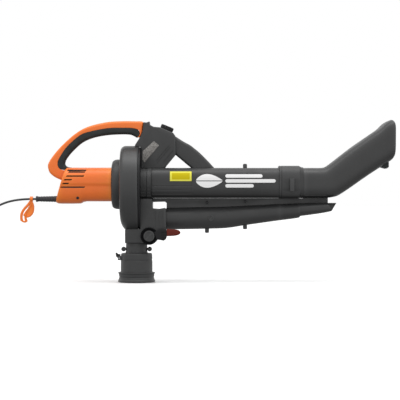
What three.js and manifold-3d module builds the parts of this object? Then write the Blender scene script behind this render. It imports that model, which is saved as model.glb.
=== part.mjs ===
// Corded leaf vacuum mulcher in millimetres. +X runs towards the nozzle, +Z up, and -Y is the right side.
// It stands on the flange of its bag collar. The origin is the middle of its footprint box on the ground.
import * as THREE from 'three';
import { mergeVertices } from 'three/addons/utils/BufferGeometryUtils.js';
import Module from 'manifold-3d';

const wasm = await Module();
wasm.setup();

// Driving dimensions
const GAP = 0.3;
const WALL = 2.6;
const REAR_X = -522;
const FRONT_X = 511.5;
const AXIS_Z = 293;
const MOTOR_FRONT_X = -331;
const MOTOR_HALF_WIDTH = 52;
const HANDLE_HALF_WIDTH = 17;
const COLLAR_RADIUS = 74.5;
const DRUM_REAR_X = -304;
const DRUM_SEAM_X = -249;
const DRUM_FRONT_X = -244;
const DRUM_RADIUS = 115;
const DRUM_DROP = 143;
const IMPELLER_RADIUS = 90;
const INLET_END_X = -209;
const TUBE_SEAM_X = 171;
const JOINT_END_X = 241;
const TUBE_HALF_WIDTH = 55;
const SWITCH_HALF_WIDTH = 24;
const FRONT_GRIP_HALF_WIDTH = 15;
const NECK_X = -257;
const NECK_RADIUS = 32;
const BAG_COLLAR_RADIUS = 47.5;
const BAG_FLANGE_RADIUS = 55.5;
const SELECTOR_X = -218;
const SELECTOR_Z = 139;
const CHAMBER_HALF_WIDTH = 38;
const CORD_Z = 249;
const CORD_RADIUS = 3.2;
const DIAL_TILT = 22 * Math.PI / 180;

const X_AXIS = new THREE.Vector3(1, 0, 0);
const Y_AXIS = new THREE.Vector3(0, 1, 0);
const Z_AXIS = new THREE.Vector3(0, 0, 1);

const ORANGE = 0xf07238;
const DARK = 0x444546;
const SOFT_BLACK = 0x232626;
const STEEL = 0xb8bcc0;

// Solids

function toVectors(pairs) {
  return pairs.map(([a, b]) => new THREE.Vector2(a, b));
}

// Turns the faces outwards where the volume they enclose comes out negative.
function outwards(position, triangles) {
  const a = new THREE.Vector3();
  const b = new THREE.Vector3();
  const c = new THREE.Vector3();
  let volume = 0;
  for (let i = 0; i < triangles.length; i += 3) {
    a.fromBufferAttribute(position, triangles[i]);
    b.fromBufferAttribute(position, triangles[i + 1]);
    c.fromBufferAttribute(position, triangles[i + 2]);
    volume += a.dot(b.cross(c));
  }
  return volume < 0 ? triangles.reverse() : triangles;
}

// A closed geometry as a solid that can be joined and cut.
function solid(geometry) {
  geometry.deleteAttribute('normal');
  geometry.deleteAttribute('uv');
  const merged = mergeVertices(geometry, 1e-4);
  const index = merged.index.array;
  const triangles = [];
  for (let i = 0; i < index.length; i += 3) {
    const corners = [index[i], index[i + 1], index[i + 2]];
    if (new Set(corners).size === 3) triangles.push(...corners);
  }
  const position = merged.attributes.position;
  const triVerts = Uint32Array.from(outwards(position, triangles));
  return new wasm.Manifold(new wasm.Mesh({ numProp: 3, vertProperties: position.array, triVerts }));
}

function geometryOf(shape) {
  const mesh = shape.getMesh();
  const geometry = new THREE.BufferGeometry();
  geometry.setAttribute('position', new THREE.BufferAttribute(mesh.vertProperties, 3));
  geometry.setIndex(new THREE.BufferAttribute(mesh.triVerts, 1));
  return geometry;
}

function join(...shapes) {
  return shapes.reduce((whole, shape) => whole.add(shape));
}

function cut(shape, ...cutters) {
  return cutters.reduce((rest, cutter) => rest.subtract(cutter), shape);
}

function extrusion(outline, depth, bevel) {
  const shape = new THREE.Shape(toVectors(outline));
  const geometry = new THREE.ExtrudeGeometry(shape, {
    depth: depth - 2 * bevel,
    bevelEnabled: bevel > 0,
    bevelSize: bevel,
    bevelThickness: bevel,
    bevelOffset: -bevel,
    bevelSegments: 1,
    steps: 1,
  });
  return geometry.translate(0, 0, bevel);
}

// An outline in X and Z, as thick as yFrom to yTo.
function sidePlate(outline, yFrom, yTo, bevel = 0) {
  const geometry = extrusion(outline, yTo - yFrom, bevel).rotateX(Math.PI / 2);
  return solid(geometry.translate(0, yTo, 0));
}

// An outline in Y and Z, as long as xFrom to xTo.
function crossPlate(outline, xFrom, xTo, bevel = 0) {
  const geometry = extrusion(outline, xTo - xFrom, bevel);
  geometry.applyMatrix4(new THREE.Matrix4().makeBasis(Y_AXIS, Z_AXIS, X_AXIS));
  return solid(geometry.translate(xFrom, 0, 0));
}

function box(xFrom, xTo, yFrom, yTo, zFrom, zTo) {
  const geometry = new THREE.BoxGeometry(xTo - xFrom, yTo - yFrom, zTo - zFrom);
  return solid(geometry.translate((xFrom + xTo) / 2, (yFrom + yTo) / 2, (zFrom + zTo) / 2));
}

// Turns a geometry made about the Y axis so that it lies about another axis, then moves it.
function placed(geometry, axis, [x, y, z]) {
  if (axis === 'x') geometry.rotateZ(-Math.PI / 2);
  if (axis === 'z') geometry.rotateX(Math.PI / 2);
  return solid(geometry.translate(x, y, z));
}

function rod(axis, radius, from, to, centre = [0, 0, 0], sides = 20) {
  const geometry = new THREE.CylinderGeometry(radius, radius, to - from, sides);
  return placed(geometry.translate(0, (from + to) / 2, 0), axis, centre);
}

// A profile of [radius, place along the axis] pairs turned about that axis.
function turned(axis, profile, centre = [0, 0, 0], sides = 32) {
  return placed(new THREE.LatheGeometry(toVectors(profile), sides), axis, centre);
}

// A flat-ended ring or sleeve.
function ring(axis, inner, outer, from, to, centre = [0, 0, 0], sides = 32) {
  const profile = [[inner, from], [outer, from], [outer, to], [inner, to], [inner, from]];
  return turned(axis, profile, centre, sides);
}

// Moves every edge of an outline inwards by a distance, or outwards where it is negative.
function inset(outline, distance) {
  const area = THREE.ShapeUtils.area(toVectors(outline));
  const side = Math.sign(area) * distance;
  const count = outline.length;
  return outline.map(([x, y], i) => {
    const [px, py] = outline[(i + count - 1) % count];
    const [nx, ny] = outline[(i + 1) % count];
    const before = new THREE.Vector2(py - y, x - px).normalize();
    const after = new THREE.Vector2(y - ny, nx - x).normalize();
    const reach = side / Math.max(1 + before.dot(after), 0.4);
    return [x + (before.x + after.x) * reach, y + (before.y + after.y) * reach];
  });
}

// A smooth open curve through some points of an outline.
function smooth(pairs, pieces) {
  return new THREE.SplineCurve(toVectors(pairs)).getPoints(pieces).map((point) => [point.x, point.y]);
}

function power(value, exponent) {
  return Math.sign(value) * Math.abs(value) ** exponent;
}

// A rounded rectangle between an ellipse and a box: squareness 2 is an ellipse.
function roundedOutline(halfWidth, halfHeight, squareness, centreZ, sides = 28) {
  return Array.from({ length: sides }, (_, i) => {
    const angle = i / sides * 2 * Math.PI;
    return [
      halfWidth * power(Math.cos(angle), 2 / squareness),
      centreZ + halfHeight * power(Math.sin(angle), 2 / squareness),
    ];
  });
}

// One section of a duct, between a top and a bottom point in the X-Z plane.
function ductRing({ top, bottom, halfWidth, squareness = 2.5 }, insetBy) {
  const sides = 24;
  const high = new THREE.Vector3(top[0], 0, top[1]);
  const low = new THREE.Vector3(bottom[0], 0, bottom[1]);
  const centre = high.clone().add(low).multiplyScalar(0.5);
  const up = high.clone().sub(centre);
  up.setLength(up.length() - insetBy);
  return Array.from({ length: sides }, (_, i) => {
    const angle = i / sides * 2 * Math.PI;
    const point = centre.clone().addScaledVector(up, power(Math.sin(angle), 2 / squareness));
    return point.addScaledVector(Y_AXIS, (halfWidth - insetBy) * power(Math.cos(angle), 2 / squareness));
  });
}

// A solid skinned over a row of rings that all have the same number of points.
function loft(rings) {
  const sides = rings[0].length;
  const vertices = rings.flat();
  const triangles = [];
  for (let row = 0; row + 1 < rings.length; row += 1) {
    for (let i = 0; i < sides; i += 1) {
      const a = row * sides + i;
      const b = row * sides + (i + 1) % sides;
      triangles.push(a, b, b + sides, a, b + sides, a + sides);
    }
  }
  const last = (rings.length - 1) * sides;
  for (let i = 1; i + 1 < sides; i += 1) {
    triangles.push(0, i + 1, i, last, last + i, last + i + 1);
  }
  const geometry = new THREE.BufferGeometry().setFromPoints(vertices);
  geometry.setIndex(triangles);
  return solid(geometry);
}

function stretched(station, towards, length) {
  const shift = (point, other) => {
    const step = new THREE.Vector2(point[0] - other[0], point[1] - other[1]).setLength(length);
    return [point[0] + step.x, point[1] + step.y];
  };
  return { ...station, top: shift(station.top, towards.top), bottom: shift(station.bottom, towards.bottom) };
}

// A solid duct, its surface moved in by some distance, and longer at both ends by another.
function duct(stations, insetBy = 0, extra = 0) {
  const first = stretched(stations[0], stations[1], extra);
  const last = stretched(stations.at(-1), stations.at(-2), extra);
  const row = extra > 0 ? [first, ...stations.slice(1, -1), last] : stations;
  return loft(row.map((station) => ductRing(station, insetBy)));
}

function hollowDuct(stations, wall) {
  return duct(stations).subtract(duct(stations, wall, 1));
}

// A straight station of a duct that runs along X.
function upright(x, topZ, bottomZ, halfWidth, squareness = 3.4) {
  return { top: [x, topZ], bottom: [x, bottomZ], halfWidth, squareness };
}

// Scene graph

const model = new THREE.Group();

function addPart(name, shape, color, roughness, metalness = 0, parent = model) {
  const material = new THREE.MeshStandardMaterial({ color, roughness, metalness });
  const mesh = new THREE.Mesh(geometryOf(shape), material);
  mesh.name = name;
  parent.add(mesh);
  return mesh;
}

function addGroup(x, y, z) {
  const group = new THREE.Group();
  group.position.set(x, y, z);
  model.add(group);
  return group;
}

// Outlines shared by neighbours, in X and Z

const gripOutline = [
  ...smooth([[-252, 436], [-247.5, 448], [-254, 457.5], [-277, 461.5], [-319, 461.5], [-359, 458.5]], 12),
  ...smooth([[-398, 450], [-427, 438.5], [-465, 405], [-487, 373], [-493, 354], [-489, 341]], 12),
  [-478, 336],
  [-452, 337],
  [-452, 343.3],
  ...smooth([[-463, 345], [-471, 354], [-467, 370], [-449, 392], [-420, 417.5], [-386, 432.5]], 12),
  ...smooth([[-345, 440.5], [-319, 442.5], [-281, 442.5], [-263, 436.5]], 6),
];

const chamberOutline = [
  [-287, 121], [-243, 121], [-236, 118.5], [-228, 116.4], [-218, 115.6], [-208.5, 117.8], [-200, 124],
  [-195.3, 132], [-194.3, 139], [-193, 152], [-187, 160], [-171, 161], [-171, 216], [-287, 216],
];

const vacuumTube = [
  upright(INLET_END_X + GAP, 342, 252, TUBE_HALF_WIDTH),
  upright(205, 342, 252, TUBE_HALF_WIDTH),
];

const blowerTube = [
  upright(-167.7, 223, 158, 32.5, 2),
  upright(11, 226.5, 162, 32, 2),
  upright(68, 229, 170.4, 31, 2.1),
  upright(TUBE_SEAM_X, 234, 185, 32.5, 2.3),
];

const blowerNozzle = [
  upright(TUBE_SEAM_X + GAP, 234, 185, 32.5, 2.3),
  upright(230, 236, 196, 36, 2.6),
  upright(293, 237, 206, 39, 3),
  { top: [339, 237], bottom: [325, 212.5], halfWidth: 41, squareness: 3.4 },
];

const vacuumNozzle = [
  upright(JOINT_END_X + GAP, 342, 252.5, 54),
  { top: [294, 342], bottom: [304, 252.4], halfWidth: 54, squareness: 3.4 },
  { top: [305, 344], bottom: [325, 254.6], halfWidth: 54, squareness: 3.4 },
  { top: [322, 355.5], bottom: [352, 267.5], halfWidth: 55, squareness: 3.5 },
  { top: [382.4, 402.9], bottom: [434.5, 325], halfWidth: 61, squareness: 3.8 },
  { top: [437.5, 441], bottom: [492, 360], halfWidth: 67, squareness: 4.2 },
  { top: [467, 462.2], bottom: [521, 378], halfWidth: 71, squareness: 4.4 },
  { top: [480, 474.5], bottom: [538, 389], halfWidth: 73, squareness: 4.4 },
  { top: [501, 484.7], bottom: [562, 402], halfWidth: 75, squareness: 4.4 },
  { top: [530, 492], bottom: [590, 414], halfWidth: 76, squareness: 4.4 },
];

const jointSleeve = [upright(169, 348.4, 250.6, 60), upright(JOINT_END_X, 348.4, 250.6, 60)];

function drumOutline(insetBy) {
  const sides = 40;
  return Array.from({ length: sides }, (_, i) => {
    const angle = i / sides * 2 * Math.PI;
    const height = (Math.sin(angle) > 0 ? DRUM_RADIUS : DRUM_DROP) - insetBy;
    return [(DRUM_RADIUS - insetBy) * Math.cos(angle), AXIS_Z + height * Math.sin(angle)];
  });
}

// Motor housing with its rear handle, as two shells

function motorHull() {
  const outline = [
    [MOTOR_FRONT_X, 343], [-476, 343], [-484, 325], [-478, 300], [-496, 241], [-493, 235], [-421, 235],
    [-412, 242], [MOTOR_FRONT_X, 242],
  ];
  const section = roundedOutline(MOTOR_HALF_WIDTH, 54.5, 3, 289);
  return sidePlate(outline, -60, 60).intersect(crossPlate(section, -500, MOTOR_FRONT_X));
}

function motorCavity() {
  const outline = [
    [-491, 239], [-473, 298], [-462, 332], [-452, 332], [-448, 340], [-325, 340], [-325, 245], [-410, 245],
    [-419, 238.5],
  ];
  const section = roundedOutline(MOTOR_HALF_WIDTH - WALL, 51.5, 3, 289);
  return sidePlate(outline, -60, 60).intersect(crossPlate(section, -500, -325));
}

function handleLoop() {
  const outline = [
    [-478, 300],
    ...smooth([[-516, 326], [REAR_X, 352], [-507, 377], [-480, 409], [-439, 445], [-400, 466]], 12),
    ...smooth([[-346, 479], [-277, 482], [-236.5, 480]], 5),
    [-240, 452],
    [-249, 432],
    [-257, 436],
    ...smooth([[-277, 452], [-319, 452], [-359, 448], [-402, 437], [-432, 420], [-460, 395]], 6),
    [-478, 375],
    [-482, 354],
    [-470, 338],
    [-456, 334],
  ];
  return sidePlate(outline, -HANDLE_HALF_WIDTH, HANDLE_HALF_WIDTH, 2);
}

function ventSlots() {
  const rows = [
    [-459, -409, 329], [-465, -412, 317], [-472, -448, 306], [-476, -457, 295], [-482, -410, 284],
  ];
  const slots = rows.map(([from, to, z]) => box(from, to, -60, 60, z - 1.8, z + 1.8));
  return cut(join(...slots), box(-500, -400, -42, 42, 270, 340));
}

// Rings inside the shells that carry the stator and the rear bearing.
function motorRibs() {
  const axis = [0, 0, AXIS_Z];
  const ribs = join(
    ring('x', 43.3, 60, -416, -412, axis),
    ring('x', 43.3, 60, -380, -376, axis),
    ring('x', 13.3, 60, -464, -459, axis),
  );
  return ribs.intersect(motorHull());
}

function screwHole(x, z, yTo) {
  return join(
    rod('y', 2.6, -60, yTo, [x, 0, z], 12),
    rod('y', 5, -60, -44, [x, 0, z], 14),
  );
}

function buildMotorHousing() {
  const grip = sidePlate(inset(gripOutline, -GAP), -20, 20);
  const strainReliefHole = join(
    rod('x', 9.3, -510, -480, [0, 0, CORD_Z]),
    rod('x', 11.3, -491, -480, [0, 0, CORD_Z]),
  );
  const boss = rod('y', 6, -50, 50, [-430, 0, 252], 14).intersect(motorHull());
  const shell = join(cut(motorHull(), motorCavity()), motorRibs(), boss, handleLoop());
  const whole = cut(shell, grip, ventSlots(), strainReliefHole, screwHole(-430, 252, 40));
  const right = whole.intersect(box(-600, -200, -100, -GAP / 2, 100, 600));
  const left = whole.intersect(box(-600, -200, GAP / 2, 100, 100, 600));
  addPart('motor_housing_right', right, ORANGE, 0.42);
  addPart('motor_housing_left', left, ORANGE, 0.42);
  addPart('handle_grip', sidePlate(gripOutline, -HANDLE_HALF_WIDTH, HANDLE_HALF_WIDTH, 1), SOFT_BLACK, 0.8);
}

function screw(length) {
  const profile = [[0, 0], [2.3, 0], [2.3, length], [4.4, length], [3.6, length + 2.4], [0, length + 2.4]];
  return turned('y', profile, [0, 0, 0], 12);
}

function addScrew(name, x, z, headY, length) {
  const mesh = addPart(name, screw(length), STEEL, 0.35, 0.9);
  mesh.rotation.x = Math.PI;
  mesh.position.set(x, headY + length, z);
}

// Fan housing, its collars and the inlet

function buildRearCollar() {
  const profile = [
    [16.3, -320], [20, -320], [20, -311], [71, -311], [71, -317], [68, -325], [57, -327], [57, -330.6],
    [61, -330.6], [70, -328], [73.5, -323], [COLLAR_RADIUS, -316], [COLLAR_RADIUS, DRUM_REAR_X - GAP],
    [10, DRUM_REAR_X - GAP], [10, -308], [16.3, -308], [16.3, -320],
  ];
  addPart('rear_collar', turned('x', profile, [0, 0, AXIS_Z], 28), DARK, 0.55);
}

function buildFanHousing() {
  const outer = crossPlate(drumOutline(0), DRUM_REAR_X, DRUM_FRONT_X, 8);
  const inner = crossPlate(drumOutline(WALL), DRUM_REAR_X + WALL, DRUM_FRONT_X - WALL, 6);
  const outlet = sidePlate(chamberOutline, -CHAMBER_HALF_WIDTH, CHAMBER_HALF_WIDTH);
  const axis = [0, 0, AXIS_Z];
  const shell = cut(
    outer,
    inner,
    outlet,
    rod('x', 22, -310, -290, axis),
    rod('x', 47, -260, -230, axis, 32),
  );
  const rear = shell.intersect(box(-400, DRUM_SEAM_X, -200, 200, 0, 500));
  const front = shell.intersect(box(DRUM_SEAM_X + GAP, -200, -200, 200, 0, 500));
  addPart('fan_housing_rear', rear, DARK, 0.5);
  addPart('fan_housing_front', front, DARK, 0.5);
  const bezel = cut(
    rod('x', 54, DRUM_FRONT_X + GAP, INLET_END_X, axis, 36),
    duct([upright(-250, 340, 246, 47, 2), upright(-200, 339, 255, 50, 2.3)]),
  );
  addPart('inlet_ring', bezel, DARK, 0.5);
}

// Motor and impeller

function blades(count, radiusFrom, radiusTo, xFrom, xTo, lean) {
  const outline = [
    [radiusFrom, -1.5], [radiusFrom, 1.5], [radiusTo, lean + 1.2], [radiusTo, lean - 1.2],
  ];
  const blade = crossPlate(outline, xFrom, xTo);
  return Array.from({ length: count }, (_, i) => blade.rotate([i / count * 360, 0, 0]));
}

function buildRotor() {
  const rotor = addGroup(0, 0, AXIS_Z);
  addPart('motor_shaft', rod('x', 5, -468, -246), STEEL, 0.3, 1, rotor);
  addPart('commutator', ring('x', 5.3, 14, -452, -434), 0xb87333, 0.35, 1, rotor);
  addPart('armature', ring('x', 5.3, 21.5, -422, -372), 0x8a5a3a, 0.5, 0.6, rotor);
  const fan = join(
    ring('x', 5.3, 14, -360, -344), ring('x', 12, 40, -348, -345), ...blades(9, 12, 39, -358, -346, 6),
  );
  addPart('cooling_fan', fan, DARK, 0.6, 0, rotor);
  const impeller = join(
    ring('x', 5.3, 16, -298, -262, [0, 0, 0], 24),
    ring('x', 14, IMPELLER_RADIUS, -298, -295, [0, 0, 0], 40),
    ...blades(8, 14, IMPELLER_RADIUS - 1, -296, -258, 18),
  );
  addPart('impeller', impeller, 0xb4b6b8, 0.4, 0.9, rotor);
  addPart('impeller_nut', ring('x', 6, 10, -261.5, -253, [0, 0, 0], 6), STEEL, 0.3, 1, rotor);
}

function buildMotorInsides() {
  const axis = [0, 0, AXIS_Z];
  addPart('stator', ring('x', 25, 43, -422, -374, axis, 40), 0x6f7275, 0.5, 0.9);
  const coil = ring('x', 27, 40, -373.6, -366, axis, 24);
  const upper = coil.intersect(box(-400, -350, -50, 50, AXIS_Z + 6, 400));
  const lower = coil.intersect(box(-400, -350, -50, 50, 200, AXIS_Z - 6));
  addPart('field_coil_upper', upper, 0xa8552c, 0.4, 0.6);
  addPart('field_coil_lower', lower, 0xa8552c, 0.4, 0.6);
  for (const [name, side] of [['brush_holder_right', -1], ['brush_holder_left', 1]]) {
    const edges = [side * 14.6, side * 44].sort((a, b) => a - b);
    addPart(name, box(-448, -438, ...edges, AXIS_Z - 5, AXIS_Z + 5), 0xc9a24a, 0.4, 1);
  }
  addPart('rear_bearing', ring('x', 5.3, 13, -466, -457, axis, 28), STEEL, 0.25, 1);
  addPart('front_bearing', ring('x', 5.3, 16, -319, -309, axis, 28), STEEL, 0.25, 1);
  addPart('motor_bracket', ring('x', 12, 47, -340, -336, axis, 36), DARK, 0.6);
}

// Switch housing with the front carrying handle, as two shells

const switchOutline = [
  [-262, 409], [-251, 426], [-240, 444], [-235.9, 480], [-219, 479], [-203, 464], [-186, 461.5],
  [-147, 445.7], [-141, 438], [-139, 383], [-168, 348], [-173, 342], [-243.4, 342], [-243.4, 400],
];

const frontGripOutline = [
  [-160, 420],
  ...smooth([[-143, 437], [-118, 427], [-97, 416.5], [-67, 392], [-46, 367.5], [-20, 336]], 8),
  [-86, 336],
  [-118, 362.5],
  [-140, 381],
];

// The dial sits on the sloping top of the switch housing.
const dialSeat = new THREE.Vector3(-168.5, 0, 454.7);

function buildSwitchHousing() {
  const body = join(
    sidePlate(switchOutline, -SWITCH_HALF_WIDTH, SWITCH_HALF_WIDTH, 2),
    sidePlate(frontGripOutline, -FRONT_GRIP_HALF_WIDTH, FRONT_GRIP_HALF_WIDTH, 3),
  );
  const cavity = sidePlate([
    [-236, 420], [-231, 473], [-221, 474], [-205, 459], [-184, 457], [-152, 443], [-145, 434], [-144, 392],
    [-172, 358], [-190, 350], [-238, 352], [-238, 405],
  ], -SWITCH_HALF_WIDTH + WALL, SWITCH_HALF_WIDTH - WALL);
  const spindleHole = rod('z', 3.6, -10, 10, [0, 0, 0], 14)
    .rotate([0, THREE.MathUtils.radToDeg(DIAL_TILT), 0])
    .translate(dialSeat.toArray());
  const whole = cut(
    body,
    cavity,
    spindleHole,
    box(-205.5, -185, -7, 7, 450, 470),
    crossPlate(drumOutline(-GAP), DRUM_REAR_X - GAP, DRUM_FRONT_X + GAP),
    rod('x', 54.4, -245, INLET_END_X + GAP, [0, 0, AXIS_Z], 36),
    duct(vacuumTube, -GAP),
  );
  const right = whole.intersect(box(-300, 0, -100, -GAP / 2, 300, 500));
  const left = whole.intersect(box(-300, 0, GAP / 2, 100, 300, 500));
  addPart('switch_housing_right', right, DARK, 0.55);
  addPart('switch_housing_left', left, DARK, 0.55);
  addPart('switch_module', box(-206, -184, -9, 9, 420, 446), 0x1c1c1e, 0.5);
  addPart('control_board', box(-216, -170, -1, 1, 376, 410), 0x1f6b3a, 0.5);
}

function buildSwitches() {
  const rocker = [[-7.5, -6], [7.5, -6], [7.5, 3], [0, 5], [-7.5, 6.5]];
  const rockerGroup = addGroup(-195, 0, 458);
  addPart('rocker', sidePlate(rocker, -6, 6, 0.5), SOFT_BLACK, 0.5, 0, rockerGroup);
  const dialGroup = addGroup(dialSeat.x, 0, dialSeat.z);
  dialGroup.rotation.y = DIAL_TILT;
  const flutes = Array.from({ length: 10 }, (_, i) => {
    const angle = i / 10 * 2 * Math.PI;
    return rod('z', 1.8, 3, 15, [18.6 * Math.cos(angle), 18.6 * Math.sin(angle), 0], 8);
  });
  const knob = cut(rod('z', 18, 0.8, 13.5, [0, 0, 0], 30), ...flutes);
  addPart('speed_dial', join(knob, rod('z', 3, -14, 2, [0, 0, 0], 14)), SOFT_BLACK, 0.55, 0, dialGroup);
  const pot = cut(box(-9, 9, -8, 8, -15, -7), rod('z', 3.3, -14.4, 0, [0, 0, 0], 14));
  addPart('dial_potentiometer', pot, 0x2a4a7a, 0.5, 0, dialGroup);
}

// Tubes

function buildTubes() {
  const peg = (x, from, to) => rod('z', 6.3, from, to, [x, 0, 0], 14);
  const buttonHole = rod('y', 3.8, -60, -40, [205, 0, 290.5], 12);
  const upper = cut(
    join(duct(vacuumTube), peg(68, 335, 354.5)),
    duct(vacuumTube, WALL, 1),
    buttonHole,
  );
  addPart('vacuum_tube_rear', upper, DARK, 0.5);
  const lower = cut(
    join(
      duct(blowerTube), peg(-46, 147, 175), peg(68, 158, 180),
      rod('y', 8.5, -34, -20, [-34, 0, 192.5], 16),
    ),
    duct(blowerTube, WALL, 1),
  );
  addPart('blower_tube_rear', lower, DARK, 0.5);
  const plate = join(box(-167, 168, -7, 7, 200, 275), box(-208.4, -160, -7, 7, 240, 275));
  const web = cut(plate, duct(vacuumTube, -GAP), duct(blowerTube, -GAP, 1));
  const bosses = [[-46, 238.5], [68, 241.5]].map(([x, z]) => rod('y', 5.5, -9, 9, [x, 0, z], 14));
  const holes = [[-46, 238.5], [68, 241.5]].map(([x, z]) => rod('y', 2.6, -10, 7, [x, 0, z], 10));
  addPart('tube_bridge', cut(join(web, ...bosses), ...holes), DARK, 0.55);
  addScrew('bridge_screw_rear', -46, 238.5, -9.3, 14);
  addScrew('bridge_screw_front', 68, 241.5, -9.3, 14);
  addScrew('housing_screw', -430, 252, -44.3, 50);
}

function buildFrontTubes() {
  const sleeve = cut(
    duct(jointSleeve),
    duct([upright(160, 342, 252, TUBE_HALF_WIDTH), upright(250, 342, 252, TUBE_HALF_WIDTH)], -0.5),
    box(198.7, 211.3, -70, -40, 271.9, 309.1),
  );
  addPart('front_collar', sleeve, DARK, 0.5);
  const keep = [
    [200, 200], [200, 520], [497, 520], [499, 486], [503, 482.5], [507, 476], [509, 466], [FRONT_X, 446],
    [FRONT_X, 412], [508.8, 392], [505.5, 378.5], [500.8, 370], [494, 362], [494, 200],
  ];
  const mouth = sidePlate(keep, -100, 100);
  addPart('vacuum_nozzle', hollowDuct(vacuumNozzle, WALL).intersect(mouth), DARK, 0.5);
  addPart('blower_nozzle', hollowDuct(blowerNozzle, 2.5), DARK, 0.5);
  const rail = cut(
    box(TUBE_SEAM_X + GAP, 316, -6, 6, 225, 252.1),
    box(165, JOINT_END_X + 1, -7, 7, 250.3, 256),
    duct(jointSleeve, -GAP),
    duct(vacuumNozzle, -GAP),
    duct(blowerNozzle, -GAP),
  );
  addPart('front_rail', rail, DARK, 0.6);
  const foot = [[472, 351], [469, 346], [482, 342.5], [490, 340], [495.5, 344], [495.5, 364]];
  const skid = sidePlate(foot, -30, 30);
  addPart('nozzle_skid', cut(skid, duct(vacuumNozzle, -GAP)), SOFT_BLACK, 0.8);
  const button = join(box(-5.7, 5.7, -1.8, 1.8, -18, 18), rod('y', 3, 1, 12, [0, 0, 0], 12));
  const buttonGroup = addGroup(205, -60.5, 290.5);
  addPart('release_button', button, SOFT_BLACK, 0.5, 0, buttonGroup);
}

// Diverter, neck and bag collar

function buildDiverter() {
  const outline = [
    [-290, 175], [-290, 118], [-246, 118], [-237, 115.5], [-228, 113.2], [-218, 112.4], [-207, 114.8],
    [-197.2, 122], [-192.4, 131], [-191.4, 139], [-190, 151], [-185, 157.5], [-168.2, 158], [-168.2, 219],
    [-208.9, 222], [-208.9, 250], [-243.4, 250], [-250, 175],
  ];
  const body = cut(
    sidePlate(outline, -CHAMBER_HALF_WIDTH - WALL, CHAMBER_HALF_WIDTH + WALL, 1),
    sidePlate(chamberOutline, -CHAMBER_HALF_WIDTH, CHAMBER_HALF_WIDTH),
    crossPlate(drumOutline(-GAP), DRUM_REAR_X - GAP, DRUM_FRONT_X + GAP),
    box(-240.8, -211.5, -CHAMBER_HALF_WIDTH, CHAMBER_HALF_WIDTH, 218.8, 255),
    rod('y', 5.5, -60, 60, [SELECTOR_X, 0, SELECTOR_Z]),
    rod('z', NECK_RADIUS + GAP, 100, 118, [NECK_X, 0, 0], 32),
    rod('z', NECK_RADIUS - WALL, 110, 125, [NECK_X, 0, 0], 32),
    rod('x', 29, -180, -160, [0, 0, 190.5], 28),
    rod('x', 54.4, -250, INLET_END_X + GAP, [0, 0, AXIS_Z], 36),
  );
  addPart('diverter_housing', body, DARK, 0.55);
  const lug = (side) => box(NECK_X + side * 38 - 7.5, NECK_X + side * 38 + 7.5, -6.5, 6.5, 93, 105);
  const neck = cut(
    join(rod('z', NECK_RADIUS, 60, 117.7, [NECK_X, 0, 0], 32), lug(-1), lug(1)),
    rod('z', NECK_RADIUS - WALL, 55, 120, [NECK_X, 0, 0], 32),
  );
  addPart('bag_neck', neck, DARK, 0.55);
}

function buildSelector() {
  const selector = addGroup(SELECTOR_X, 0, SELECTOR_Z);
  const face = -CHAMBER_HALF_WIDTH - WALL - 0.5;
  const armOutline = [
    [12, -12], [14, 12], [33, 21], [49, 21.5], [52.4, 18], [52.4, -4], [44, -13], [36, -12],
  ];
  const knob = join(
    rod('y', 24, face - 11, face, [0, 0, 0], 32),
    rod('y', 16.5, face - 15, face, [0, 0, 0], 28),
    rod('y', 5, face - 2, CHAMBER_HALF_WIDTH + WALL + 3, [0, 0, 0], 20),
    sidePlate(armOutline, face - 11, face - 2, 1),
  );
  addPart('selector_knob', knob, DARK, 0.5, 0, selector);
  const tip = [[52.8, -1], [52.8, 20.5], [78, 20], [87, 16.5], [91, 10], [87, 4], [76, 1]];
  addPart('selector_lever', sidePlate(tip, face - 12, face - 1, 1), ORANGE, 0.45, 0, selector);
  const flap = cut(
    join(rod('y', 9, -36, 36, [0, 0, 0], 20), box(-62, 0, -36, 36, -2, 2)),
    rod('y', 5.3, -40, 40, [0, 0, 0], 20),
  );
  addPart('diverter_flap', flap, 0x5a5c5e, 0.6, 0, selector);
}

function buildBagCollar() {
  const profile = [
    [NECK_RADIUS + 0.6, 87], [NECK_RADIUS + 0.6, 58], [44.5, 50], [44.5, 6], [51, 0.5], [51, 0], [54, 0],
    [BAG_FLANGE_RADIUS, 2], [BAG_FLANGE_RADIUS, 7], [53, 9], [53, 26], [BAG_FLANGE_RADIUS, 27],
    [BAG_FLANGE_RADIUS, 30], [BAG_COLLAR_RADIUS, 31], [BAG_COLLAR_RADIUS, 66], [BAG_COLLAR_RADIUS - 1, 67],
    [BAG_COLLAR_RADIUS - 1, 85], [BAG_COLLAR_RADIUS - 3, 87], [NECK_RADIUS + 0.6, 87],
  ];
  const collar = addGroup(NECK_X, 0, 0);
  const ear = (y) => box(-56, -44, y - 1.5, y + 1.5, 66, 78);
  const body = cut(
    join(turned('z', profile, [0, 0, 0], 28), ear(-9.5), ear(9.5)),
    rod('y', 2.3, -20, 20, [-52, 0, 72], 12),
  );
  addPart('bag_collar', body, DARK, 0.55, 0, collar);
  const latch = cut(
    join(
      rod('y', 3.8, -7, 7, [-52, 0, 72], 16),
      sidePlate(
        [[-55, 72], [-62, 78], [-63, 88], [-59, 88], [-56, 84], [-48.6, 84], [-48.6, 80], [-50, 72]], -7, 7,
      ),
    ),
    rod('y', 2.3, -20, 20, [-52, 0, 72], 12),
  );
  addPart('bag_latch', latch, SOFT_BLACK, 0.5, 0, collar);
  addPart('latch_pin', rod('y', 2, -12, 12, [-52, 0, 72], 12), STEEL, 0.3, 1, collar);
}

// Lead with its strain relief, plug and retainer hook

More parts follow.
